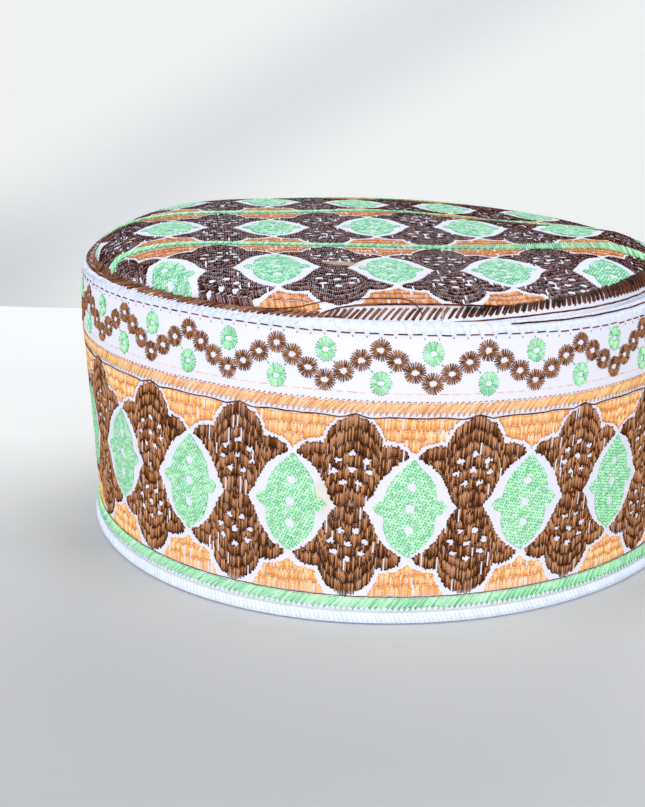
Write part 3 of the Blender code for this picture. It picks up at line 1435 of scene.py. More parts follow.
ORANGE_SATIN = Rayon(
    "rayon_orange_satin_stripe", "#944C24", "#EDA65A", "#FFE4B6", 0.75,
    painted_end_light=0.1, unevenness=0.18, flank_shade=0.6,
)
# The band's orange thread made darker as painted shade on the crown's top.
CROWN_ORANGE_PAINTED_SHADE = Rayon(
    "rayon_orange_crown_painted_shade", "#9A5428", "#D68A4C", "#F8CAA4", specular=0.0, unevenness=0.25
)
PINK = Rayon("rayon_pink_running_stitch", "#B9806A", "#DDA88C", "#F0CDB8", 0.3, painted_end_light=0.0)
NEEDLE_BROWN = Rayon("rayon_brown_needle_dots", "#6A3824", "#8A5440", "#A87860", 0.1, painted_end_light=0.0)
GREEN = Rayon("rayon_mint_machine_worked", "#2A9A56", "#97E2AC", "#E4FFEA", 0.36, 0.1, 0.1, unevenness=0.22)
# The band's mint thread made darker as painted shade on the crown's top.
CROWN_GREEN_PAINTED_SHADE = Rayon(
    "rayon_mint_crown_painted_shade", "#3A9A6C", "#88CEA8", "#D2F2E2", 0.36, 0.1, 0.1, specular=0.0
)
GREEN_SATIN = Rayon(
    "rayon_mint_satin_stripe", "#1F8A5C", "#8CDAA4", "#DCFFDC", 0.75,
    painted_end_light=0.2, unevenness=0.2, flank_shade=0.65,
)
BLUE_GREY = Rayon("bobbin_thread_blue_grey_needle_dots", "#525E84", "#707A9C", "#98A2BE", 0.1, painted_end_light=0.0)
WISP_BEIGE = Rayon("rayon_beige_loose_end", "#A88468", "#C9A58C", "#E2C8B4", 0.3, painted_end_light=0.0)
SEAM_WHITE = Rayon(
    "cotton_thread_white_seam_overcast",
    "#B4BCD2",
    "#D2D8E8",
    "#F4F7FF",
    0.4,
    painted_end_light=0.0,
    roughness=0.7,
    unevenness=0.2,
)
HEM_WHITE = Rayon(
    "cotton_thread_white_hem_overcast",
    "#A4B4DC",
    "#D6DFF3",
    "#F0F5FF",
    0.4,
    painted_end_light=0.0,
    roughness=0.7,
    unevenness=0.1,
    flank_shade=0.6,
)
BAND_COTTON = BleachedCotton(
    "cotton_plain_woven_bleached_band", "#E6E5F0", "#DCDCEA", relief=0.02, stain=BAND_STAIN
)
CROWN_COTTON = BleachedCotton(
    "cotton_plain_woven_bleached_crown",
    "#E4E5F0",
    "#D8DAE8",
    relief=0.02,
    round_wall=False,
    stain=CROWN_STAIN,
)
# White cotton made bluer and darker as painted shade under the overcast threads.
CORE_COTTON_PAINTED_SHADE = BleachedCotton("cotton_core_bleached_painted_shade", "#DEE4F4", "#D4DBEE", relief=0.02, pucker=0.1)


# Sub-assemblies


def centred(count: int, pitch: float, shift: float = 0.0) -> Array:
    """Evenly spaced places with the middle one at nothing, or so many pitches on from there."""
    return (np.arange(count) - count // 2 + shift) * pitch


@dataclass
class SideBand:
    """The upright band: a strip of white cotton with a row of flowers, satin stripes and a rosette chain."""

    form: CapForm
    chart: WallChart
    cell: Cell = Cell()
    flowers: int = 19
    first_flower: float = -7.15
    waist: float = 31.2
    lean_over: float = 0.045
    lean_under: float = 0.02
    # The running line over half a flower, as places from its middle and heights over its waist
    run_wave: Table = (
        (0.0, 24.35), (1.9, 23.75), (3.7, 23.3), (5.8, 23.5), (8.0, 23.7), (10.4, 23.75), (12.8, 23.6),
    )
    foot_run_places: int = 304
    green_stripe: Pair = (3.74, 7.0)
    orange_stripe: Pair = (55.5, 59.0)
    teeth: int = 398
    orange_slant: float = 2.35
    green_slant: float = 2.9
    pink_line: float = 60.98
    chain_repeats: int = 22
    chain: Table = ((-0.34, 71.5), (3.8, 69.0), (7.96, 66.2), (12.4, 63.56), (16.9, 66.0), (21.2, 68.84))
    chain_middle: float = 67.0
    rosette_radius: float = 2.75
    rosette_hole: Pair = (0.8, 0.58)
    spokes: int = 25
    green_rosettes: Table = ((12.35, 70.9), (-0.1, 63.4))
    green_rosette_size: Pair = (2.65, 3.05)
    # The dash line's heights at places along the strip
    dash_heights: Table = ((30.0, 75.4), (48.0, 74.9), (68.0, 74.5), (150.0, 75.4))
    dash_length: float = 2.85
    dash_count: int = 165

    @property
    def period(self) -> float:
        """From flower to flower along the strip."""
        return self.chart.turn / self.flowers

    def build(self) -> None:
        """Build the whole band."""
        self.cloth()
        self.pattern()
        self.outline_runs()
        self.stripes()
        self.rosettes()
        self.seam_marks()

    def lean(self, height: Array) -> Array:
        """How far the centre lines of the pattern lean towards +X at a height over the waist."""
        return np.where(height > 0.0, self.lean_over, self.lean_under) * height

    def cloth(self) -> None:
        """The strip of cotton itself, inside and out."""
        foot, top = self.form.hem_height - 0.6, self.form.seam_foot + 0.5
        heights = np.concatenate([[foot], np.linspace(4.2, top - 0.2, 30), [top]])
        section = [(self.form.outside_radius(height), height) for height in heights]
        section += [(radius - self.form.band_wall, height) for radius, height in section[::-1]]
        mesh = ring_mesh("band_cloth", self.form.rings(section), closed=True)
        piece = add_piece(mesh, BAND_COTTON.material(self.form.sections[3].radius), Slot.BAND)
        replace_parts(piece, Node.BAND.value)

    def pattern(self) -> None:
        """The brown flowers, the green ogives, and the orange ground over and under the ogives."""
        cell = self.cell
        for name, seed, fill, inside, box, shift, finish in (
            ("band_flowers_brown", 11, BROWN_FILL, cell.in_flower, (-14.3, 14.4, -24.2, 24.2), 0.0, BROWN),
            ("band_ogives_green", 12, GREEN_FILL, cell.in_ogive, OGIVE_BOX, 0.5, GREEN),
            ("band_ground_orange", 13, ORANGE_FILL, cell.in_ground, (-11.4, 11.4, -24.1, 24.1), 0.5, ORANGE),
        ):
            piece = ThreadPiece(name, self.chart, np.random.default_rng(seed))
            for centre in self.first_flower + centred(self.flowers, self.period, shift):

                def spot(x: Array, z: Array, centre: float = centre) -> Places:
                    """The place on the strip of the shape's points."""
                    return centre + x + self.lean(z), self.waist + z

                piece.fill(fill, inside, box, spot)
            piece.build(finish.material(), Slot.BAND)

    def outline_runs(self) -> None:
        """The dark running lines along the top and the foot of the flower row, and the faint pink one."""
        rng = np.random.default_rng(14)
        piece = ThreadPiece("band_runs_brown", self.chart, rng)
        side = [*self.run_wave, (self.period / 2.0, self.run_wave[-1][1])]
        across, over = np.array([(-x, z) for x, z in reversed(side[1:])] + side).T
        for centre in self.first_flower + centred(self.flowers, self.period):
            piece.chain(across + (centre + self.lean(over)), over + self.waist)
        half = self.chart.turn / 2.0
        piece.chain(np.linspace(-half, half, self.foot_run_places), self.green_stripe[1] + 0.12)
        piece.build(RUN_BROWN.material(), Slot.BAND)
        pink = ThreadPiece("band_run_pink", self.chart, rng)
        start = np.arange(-half, half, 2.8)
        stop = start + rng.uniform(1.9, 2.7, start.shape)
        level = np.full(start.shape, self.pink_line)
        pink.stitches(Gauge(0.28, 0.16, 0.3, 0.02), (start, level), (stop, level))
        pink.build(PINK.material(), Slot.BAND)

    def stripes(self) -> None:
        """The orange and green satin stripes, in slanting teeth of a few threads, with their needle dots."""
        rng = np.random.default_rng(15)
        pitch = self.chart.turn / self.teeth
        foot = centred(self.teeth, pitch)
        level = np.ones(foot.shape)
        for name, (low, high), slant, shape, finish in (
            ("band_stripe_orange", self.orange_stripe, self.orange_slant, (0.4, 0.6, 0.6), ORANGE_SATIN),
            ("band_stripe_green", self.green_stripe, self.green_slant, (0.5, 0.8, 0.1), GREEN_SATIN),
        ):
            piece = ThreadPiece(name, self.chart, rng)
            piece.satin(Teeth(foot, low * level, foot + slant, high * level, pitch, 3, *shape, SATIN))
            piece.build(finish.material(), Slot.BAND)
        dots = ThreadPiece("band_dots_brown", self.chart, rng)
        low, high = self.orange_stripe
        for places, height in (
            (foot + self.orange_slant + 0.25, high * level - 0.2), (foot - 0.05, low * level - 0.2)
        ):
            dots.stitches(DOT, (places, height), (places + 0.1, height + 0.38))
        dots.build(NEEDLE_BROWN.material(), Slot.BAND)

    def rosettes(self) -> None:
        """The zigzag chain of brown rosettes, and the green ones in its bays."""
        rng = np.random.default_rng(16)
        brown = ThreadPiece("band_rosettes_brown", self.chart, rng)
        green = ThreadPiece("band_rosettes_green", self.chart, rng)
        for shift in centred(self.chain_repeats, self.chart.turn / self.chain_repeats):
            for place, height in self.chain:
                self._rosette(brown, (place + shift, height), (self.rosette_radius, self.rosette_radius))
            for place, height in self.green_rosettes:
                self._rosette(green, (place + shift, height), self.green_rosette_size)
                self._whiskers(green, (place + shift, height))
        brown.build(ROSETTE_BROWN.material(), Slot.BAND)
        green.build(GREEN_SATIN.material(), Slot.BAND)

    def _rosette(self, piece: ThreadPiece, centre: Pair, size: Pair) -> None:
        """Lay one rosette, an eyelet of spokes round a bare hole.

        Args:
            piece: the piece that the spokes join.
            centre: its place on the strip.
            size: its half width and half height.
        """
        spokes, rng = self.spokes, piece.rng
        turn = (np.arange(spokes) + rng.uniform(-0.12, 0.12, spokes)) * FULL_TURN / spokes
        reach = 1.03 + rng.uniform(-0.06, 0.05, spokes)
        cos, sin = np.cos(turn), np.sin(turn)
        ragged = rng.uniform(0.8, 1.35, spokes)
        hole = self.rosette_hole[0] * ragged, self.rosette_hole[1] * ragged
        start = centre[0] + cos * size[0] * reach, centre[1] + sin * size[1] * reach
        piece.stitches(SPOKE, start, (centre[0] + cos * hole[0], centre[1] + sin * hole[1]))

    def _whiskers(self, piece: ThreadPiece, centre: Pair) -> None:
        """The tiny stitches at a green rosette's corners that lie towards the chain."""
        side = 1.0 if centre[1] < self.chain_middle else -1.0
        reach = np.array([2.0, 2.7])
        for hand in (-1.0, 1.0):
            start = centre[0] + hand * reach, centre[1] + side * (reach + 0.6)
            piece.stitches(DOT, start, (start[0] + hand * 0.55, start[1] + side * 0.5))

    def seam_marks(self) -> None:
        """The dash line under the seam, with a needle dot below each dash."""
        rng = np.random.default_rng(17)
        place = centred(self.dash_count, self.chart.turn / self.dash_count)
        height = np.interp(place, *zip(*self.dash_heights)) + rng.uniform(-0.12, 0.12, place.shape)
        slope = rng.uniform(-0.12, 0.12, place.shape)
        dashes = ThreadPiece("band_dashes_brown", self.chart, rng)
        dashes.stitches(Gauge(0.44, 0.35, 0.3), (place, height), (place + self.dash_length, height + slope))
        dashes.build(RUN_BROWN.material(), Slot.BAND)
        below = height - 0.65 + rng.uniform(-0.15, 0.15, place.shape)
        dots = ThreadPiece("band_dots_blue_grey", self.chart, rng)
        dots.stitches(NEEDLE_DOT, (place - 0.36, below), (place - 0.3, below - 0.5))
        dots.build(BLUE_GREY.material(), Slot.BAND)


@dataclass(frozen=True)
class BorderPart:
    """How the border's strokes lie in one direction from the middle.

    Args:
        direction: in degrees.
        inset: how far in from the crown's edge their feet are.
        length: how far they reach in from there.
        slant: how far their heads are shifted towards the right-hand side.
    """

    direction: float
    inset: float
    length: float
    slant: float


@dataclass
class CrownPanel:
    """The domed top: white cotton with rows of flowers between green lines, and a border of strokes."""

    form: CapForm
    chart: CrownChart
    rim: RimChart
    cloth_steps: int = 288
    period: float = 29.73
    ogive_place: float = -5.71
    first_row: float = -60.43
    row_pitch: float = 51.33
    rows: int = 4
    row_box: Box = (-92.0, 92.0, -24.4, 24.4)
    # The green lines' widths at places along the rows
    line_widths: Table = ((-60.0, 4.4), (0.0, 3.6), (25.0, 5.4), (45.0, 8.2), (80.0, 9.4))
    line_pitch: float = 1.8
    front_line: float = -85.2
    border_pitch: float = 1.72
    dark_border: Pair = (-78.0, 70.0)
    # The ways of the edge's line and the loose ends: directions in degrees, and distances in from the edge
    edge_line: Table = (
        (-79.0, 0.35), (-71.6, 0.9), (-64.0, 1.4), (-56.0, 1.4), (-45.0, 1.35), (-34.0, 1.4), (-5.0, 0.7),
    )
    loose_thread: Table = (
        (-110.6, 0.9), (-107.4, 1.35), (-104.0, 2.2), (-96.7, 5.5), (-93.6, 6.5), (-90.7, 7.4),
        (-87.2, 8.0), (-85.4, 7.1), (-84.5, 4.3), (-83.8, 1.45),
    )
    wisp: Table = ((-80.3, 5.7), (-80.7, 2.1), (-81.1, 0.35))
    border_parts: tuple[BorderPart, ...] = tuple(
        BorderPart(*row)
        for row in (
            (-180.0, -2.9, 5.4, 3.3), (-160.0, -2.7, 5.4, 3.5), (-150.0, -3.0, 5.6, 3.6),
            (-140.0, -3.5, 5.2, 3.8), (-130.0, -3.9, 5.2, 3.8), (-118.0, -3.7, 4.8, 3.5),
            (-112.0, -3.6, 4.9, 3.4), (-103.0, -3.3, 5.3, 3.1), (-100.0, -2.6, 4.9, 3.0),
            (-96.0, -0.3, 3.6, 2.7), (-90.0, 0.3, 3.9, 2.6), (-84.0, 0.45, 4.8, 2.6),
            (-75.0, 1.4, 4.1, 2.4), (-68.0, 2.0, 3.8, 2.2), (-60.0, 2.4, 3.9, 2.2), (-51.0, 2.4, 4.3, 2.1),
            (-34.0, 2.4, 4.8, 2.0), (10.0, 1.6, 4.0, 2.0), (60.0, -0.5, 3.5, 2.4), (110.0, -2.2, 4.3, 2.8),
            (180.0, -2.9, 5.4, 3.3),
        )
    )

    @property
    def cell(self) -> Cell:
        """The pattern's unit on the crown, whose ogives are a little smaller."""
        half = tuple((0.94 * x, (0.93 if y > 0.0 else 0.88) * y) for x, y in Cell.ogive.half)
        return Cell(ogive=Outline(half))

    @property
    def row_middles(self) -> list[float]:
        """The waist line of each row of flowers."""
        return [self.first_row + number * self.row_pitch for number in range(self.rows)]

    def build(self) -> None:
        """Build the whole crown."""
        self.cloth()
        self.pattern()
        self.green_lines()
        self.border()
        self.running_lines()
        self.loose_ends()

    def cloth(self) -> None:
        """The panel of cotton itself, inside and out."""
        angle = FRONT + np.arange(self.cloth_steps) * FULL_TURN / self.cloth_steps
        edge = self.form.crown_radius(angle)
        shares = np.concatenate([np.linspace(0.0, 0.9, 36), np.linspace(0.91, 1.0, 19)])
        upper = [self._ring(angle, edge * share, 0.0) for share in shares]
        lower = [self._ring(angle, edge * share, -self.form.crown_wall) for share in shares[::-1]]
        mesh = ring_mesh("crown_cloth", upper + lower, closed=False)
        piece = add_piece(mesh, CROWN_COTTON.material(self.form.top.radius), Slot.CROWN)
        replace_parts(piece, Node.CROWN.value)

    def _ring(self, angle: Array, radius: Array, out: float) -> Array:
        """A ring of points on the crown, or under it."""
        return crown_point(self.form, radius * np.cos(angle), radius * np.sin(angle), out)

    def _clear(self, across: Array, along: Array) -> Array:
        """Tell which points lie inside the border, and behind the front line."""
        angle, inset = self.chart.inset(across, along)
        degrees = np.degrees(angle)
        kept = self._border("inset", degrees) + 0.75 * self._border("length", degrees)
        inward = self.rim.way.at(angle, inset)
        return (inset > 0.1) & (inward > kept) & (along > self.front_line - 1.6)

    def _border(self, column: str, degrees: Array) -> Array:
        """One column of the border's table in every direction."""
        parts = self.border_parts
        return np.interp(degrees, [p.direction for p in parts], [getattr(p, column) for p in parts])

    def _repeated(self, inside: Inside, middle: float) -> Inside:
        """The test for a shape, repeated along the rows from where one unit's middle lies."""
        half = self.period / 2.0
        return lambda across, along: inside((across - middle + half) % self.period - half, along)

    def pattern(self) -> None:
        """The brown flowers, the green ogives, and the orange ground up to the green lines, in threads
        darkened by painted shade.
        """
        flower = self._repeated(self.cell.in_flower, self.ogive_place + self.period / 2.0)
        ground = self._repeated(self.cell.in_ground, self.ogive_place)
        ogives = self.ogive_place + centred(9, self.period)
        for name, seed, fill, inside, box, centres, finish in (
            ("crown_flowers_brown", 21, CROWN_BROWN_FILL, flower, self.row_box, (0.0,), CROWN_BROWN_PAINTED_SHADE),
            ("crown_ogives_green", 22, GREEN_FILL, self.cell.in_ogive, OGIVE_BOX, ogives, CROWN_GREEN_PAINTED_SHADE),
            ("crown_ground_orange", 23, CROWN_ORANGE_FILL, ground, self.row_box, (0.0,), CROWN_ORANGE_PAINTED_SHADE),
        ):
            piece = ThreadPiece(name, self.chart, np.random.default_rng(seed))
            for row in self.row_middles:
                for centre in centres:
                    self._fill(piece, fill, inside, box, (centre, row))
            piece.build(finish.material(), Slot.CROWN)

    def _fill(self, piece: ThreadPiece, fill: Fill, inside: Inside, box: Box, middle: Pair) -> None:
        """Fill one shape as far as the border.

        Args:
            piece: the piece that the stitches join.
            fill: how the shape is filled.
            inside: tells which points lie in the shape, from its middle.
            box: the shape's least and greatest place across the threads, then along them.
            middle: where the shape's middle lies on the crown.
        """

        def spot(x: Array, y: Array) -> Places:
            """The place on the crown of the shape's points."""
            return middle[0] + x, middle[1] + y

        piece.fill(fill, lambda x, y: inside(x, y) & self._clear(*spot(x, y)), box, spot)

    def green_lines(self) -> None:
        """The green satin lines between the rows."""
        piece = ThreadPiece("crown_lines_green", self.chart, np.random.default_rng(24))
        gauge = Gauge(0.5, 0.5, 0.3, 0.0)
        for row in self.row_middles[1:]:
            line = row - self.row_pitch / 2.0
            foot = np.arange(self.row_box[0], self.row_box[1], self.line_pitch)
            foot = foot[self._clear(foot, np.full(foot.shape, line))]
            half = np.interp(foot, *zip(*self.line_widths)) / 2.0
            shape = self.line_pitch, 3, 0.3, 0.6, 0.2, gauge
            teeth = Teeth(foot, line - half, foot + 1.2, line + half, *shape)
            piece.satin(teeth, lift=0.12)
        piece.build(GREEN_SATIN.material(), Slot.CROWN)

    def border(self) -> None:
        """The border of strokes along the panel's edge, darker to the right."""
        rng = np.random.default_rng(25)
        whole = FULL_TURN * self.rim.mean_radius
        count = round(whole / self.border_pitch)
        foot = centred(count, whole) / count + rng.uniform(-0.12, 0.12, count)
        degrees = np.degrees((self.rim.angle_at(foot) + math.pi) % FULL_TURN - math.pi)
        low = self._border("inset", degrees)
        high = low + self._border("length", degrees) + rng.uniform(-0.3, 0.3, count)
        head = foot + self._border("slant", degrees)
        dark = (degrees > self.dark_border[0]) & (degrees < self.dark_border[1])
        gauge = Gauge(0.5, 0.45, 0.3, 0.0)
        for name, here, breadth, threads, pinch, finish in (
            ("crown_border_brown", ~dark, 1.0, 2, 0.45, BORDER_BROWN),
            ("crown_border_dark_brown", dark, 1.45, 3, 0.25, BORDER_DARK),
        ):
            piece = ThreadPiece(name, self.rim, rng)
            shape = breadth, threads, pinch, 0.5, 0.3, gauge
            teeth = Teeth(foot[here], low[here], head[here], high[here], *shape)
            piece.satin(teeth, lift=0.12)
            piece.build(finish.material(), Slot.CROWN)

    def loose_ends(self) -> None:
        """The loose brown thread that lies over the front of the border, and the beige wisp beside it."""
        rng = np.random.default_rng(27)
        for name, table, finish in (
            ("crown_loose_thread_brown", self.loose_thread, RUN_BROWN),
            ("crown_wisp_beige", self.wisp, WISP_BEIGE),
        ):
            degrees, inward = (np.array(column) for column in zip(*table))
            share = np.linspace(0.0, 1.0, 40)[None, :]
            places = np.linspace(0.0, 1.0, len(table))
            route = np.interp(share, places, self.rim.along_at(degrees)), np.interp(share, places, inward)
            piece = ThreadPiece(name, self.rim, rng)
            piece.lay(route, 0.75 + 0.0 * share, 0.3, rng.uniform(-0.3, 0.3, 1), foot=0.5)
            piece.build(finish.material(), Slot.CROWN)

    def running_lines(self) -> None:
        """The dark running line in front of the first row, and the one in the white margin on the right."""
        piece = ThreadPiece("crown_runs_brown", self.chart, np.random.default_rng(26))
        along = np.arange(-60.0, 60.0, 2.0)
        along = along[self._clear(along, np.full(along.shape, self.front_line + 0.4))]
        if len(along) > 1:
            piece.chain(along, self.front_line, lift=0.3)
        degrees = np.arange(self.edge_line[0][0], self.edge_line[-1][0], 1.35)
        piece.chart = self.rim
        piece.chain(self.rim.along_at(degrees), np.interp(degrees, *zip(*self.edge_line)), lift=0.05)
        piece.build(RUN_BROWN.material(), Slot.CROWN)


@dataclass
class CrownSeam:
    """The ridge where the band meets the crown, overcast in white."""

    form: CapForm
    wall: WallChart
    rim: RimChart
    core_radius: float = 90.0
    zigzags: int = 165
    hair_pitch: float = 1.72

    def build(self) -> None:
        """Build the whole seam."""
        self.core()
        self.overcast()
        self.running_line()

    def running_line(self) -> None:
        """The dark running line that the ridge carries on the right."""
        chart = ProfileChart(self.wall, seam_section(self.form))
        piece = ThreadPiece("seam_run_brown", chart, np.random.default_rng(32))
        piece.chain(np.arange(self.wall.turn * 0.055, self.wall.turn * 0.24, 1.9), 3.3, lift=0.15)
        piece.build(RUN_BROWN.material(), Slot.SEAM)

    def core(self) -> None:
        """The rolled allowances under the overcast threads."""
        section = list(seam_section(self.form))
        section += [(section[-1][0], self.form.seam_foot), (section[0][0] - 0.6, self.form.seam_foot - 0.6)]
        rows = self.form.rings((radius - 0.12, height - 0.1) for radius, height in section)
        mesh = ring_mesh("seam_core", rows[::-1], closed=True)
        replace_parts(add_piece(mesh, CORE_COTTON_PAINTED_SHADE.material(self.core_radius), Slot.SEAM), Node.SEAM.value)

    def overcast(self) -> None:
        """The threads over the ridge: an open zigzag, and slanting hairs that catch the crown's edge."""
        chart = ProfileChart(self.wall, seam_section(self.form))
        threads = ThreadPiece("seam_overcast_white", chart, np.random.default_rng(31))
        self._zigzag(threads, chart.length)
        threads.chart = self.rim
        self._hairs(threads)
        threads.build(SEAM_WHITE.material(), Slot.SEAM)

    def _zigzag(self, threads: ThreadPiece, length: float) -> None:
        """Lay the open zigzag of doubled threads, whose low points fall between the dashes.

        Args:
            threads: the piece that it joins.
            length: the way over the ridge.
        """
        rng = threads.rng
        pitch = self.wall.turn / self.zigzags
        place = centred(self.zigzags, pitch) - 0.55
        share = np.array([0.0, 0.08, 0.35, 0.65, 0.92, 1.0])
        stand = np.array([-0.1, 0.1, 0.14, 0.14, 0.1, -0.1])
        for hand in (-1.0, 1.0):
            for strand in (-0.2, 0.25):
                top = length * rng.uniform(0.68, 0.82, place.shape)
                over = 0.1 + share[None, :] * (top[:, None] - 0.1)
                lean = hand * (pitch * 0.5 * share[None, :] + strand * (0.3 + share[None, :]))
                along = place[:, None] + lean + rng.uniform(-0.12, 0.12, place.shape)[:, None]
                tone = rng.uniform(0.0, 1.0, place.shape)
                threads.lay((along, over), stand[None, :] + 0.0 * over, 0.22, tone)

    def _hairs(self, threads: ThreadPiece) -> None:
        """Lay the short slanting stitches that reach between the border's feet, on the left and the back."""
        rng = threads.rng
        first, last = self.rim.along_at(-255.0), self.rim.along_at(-103.0)
        place = np.arange(first, last, self.hair_pitch)
        fade = np.clip((last - place) / 60.0, 0.1, 1.0)
        low = -4.7 + rng.uniform(-0.3, 0.3, place.shape)
        high = low + 0.9 + 1.4 * fade * rng.uniform(0.7, 1.1, place.shape)
        threads.stitches(Gauge(0.4, 0.35, 0.7), (place, low), (place + 0.9 * (high - low), high), lift=0.1)


@dataclass
class HemEdging:
    """The thick overcast edging that the cap stands on."""

    form: CapForm
    wall: WallChart
    core_radius: float = 92.0
    pitch: float = 1.2
    slant: float = -1.5
    thread: float = 0.3
    flare: float = 1.2

    def section(self, inset: float) -> Array:
        """The edging's section, from the top of its inner side under it to the top of its outer side.

        Args:
            inset: how far the section stays inside the edging's full size.

        Returns:
            (radius, height) points.
        """
        half_width = self.form.hem_width / 2.0 - inset
        half_height = self.form.hem_height / 2.0 - inset
        centre = self.form.sections[0].radius - self.form.hem_width / 2.0
        turn = np.radians(np.linspace(-252.0, 72.0, 55))
        cos, sin = np.cos(turn), np.sin(turn)
        flatness = np.where(sin < 0.0, 0.2, 0.35)
        radius = centre + half_width * np.sign(cos) * np.abs(cos) ** flatness
        height = self.form.hem_height / 2.0 + half_height * np.sign(sin) * np.abs(sin) ** flatness
        flare = self.flare * np.maximum(cos, 0.0) * (1.0 - height / self.form.hem_height)
        return np.stack([radius + flare, height], axis=1)

    def build(self) -> None:
        """Build the whole edging."""
        mesh = ring_mesh("hem_core", self.form.rings(self.section(self.thread)), closed=True)
        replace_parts(add_piece(mesh, CORE_COTTON_PAINTED_SHADE.material(self.core_radius), Slot.HEM), Node.HEM.value)
        self.overcast()

    def overcast(self) -> None:
        """The slanting threads that wrap the edge."""
        rng = np.random.default_rng(41)
        chart = ProfileChart(self.wall, self.section(self.thread))
        count = round(self.wall.turn / self.pitch)
        place = centred(count, self.wall.turn / count)
        share = np.array([0.0, 0.04, 0.25, 0.4, 0.5, 0.58, 0.68, 0.78, 0.88, 0.96, 1.0])
        stand = np.array([-0.1, 0.2, 0.29, 0.29, 0.29, 0.29, 0.29, 0.29, 0.28, 0.2, -0.1])
        over = share[None, :] * (chart.length + 0.0 * place[:, None])
        lean = self.slant * np.interp(share, (0.0, 0.65, 1.0), (1.2, 1.0, 0.0))
        along = place[:, None] - lean[None, :] + rng.uniform(-0.12, 0.12, place.shape)[:, None]
        out = stand[None, :] * rng.uniform(0.88, 1.0, count)[:, None]
        threads = ThreadPiece("hem_overcast_white", chart, rng)
        threads.lay((along, over), out, self.pitch * 0.98, rng.uniform(-1.0, 1.0, count))
        threads.build(HEM_WHITE.material(), Slot.HEM)


# The studio


@dataclass(frozen=True)
class Softbox:
    """A square soft light, aimed at the cap."""

    name: str
    place: tuple[float, float, float]
    size: float
    watts: float
    colour: str


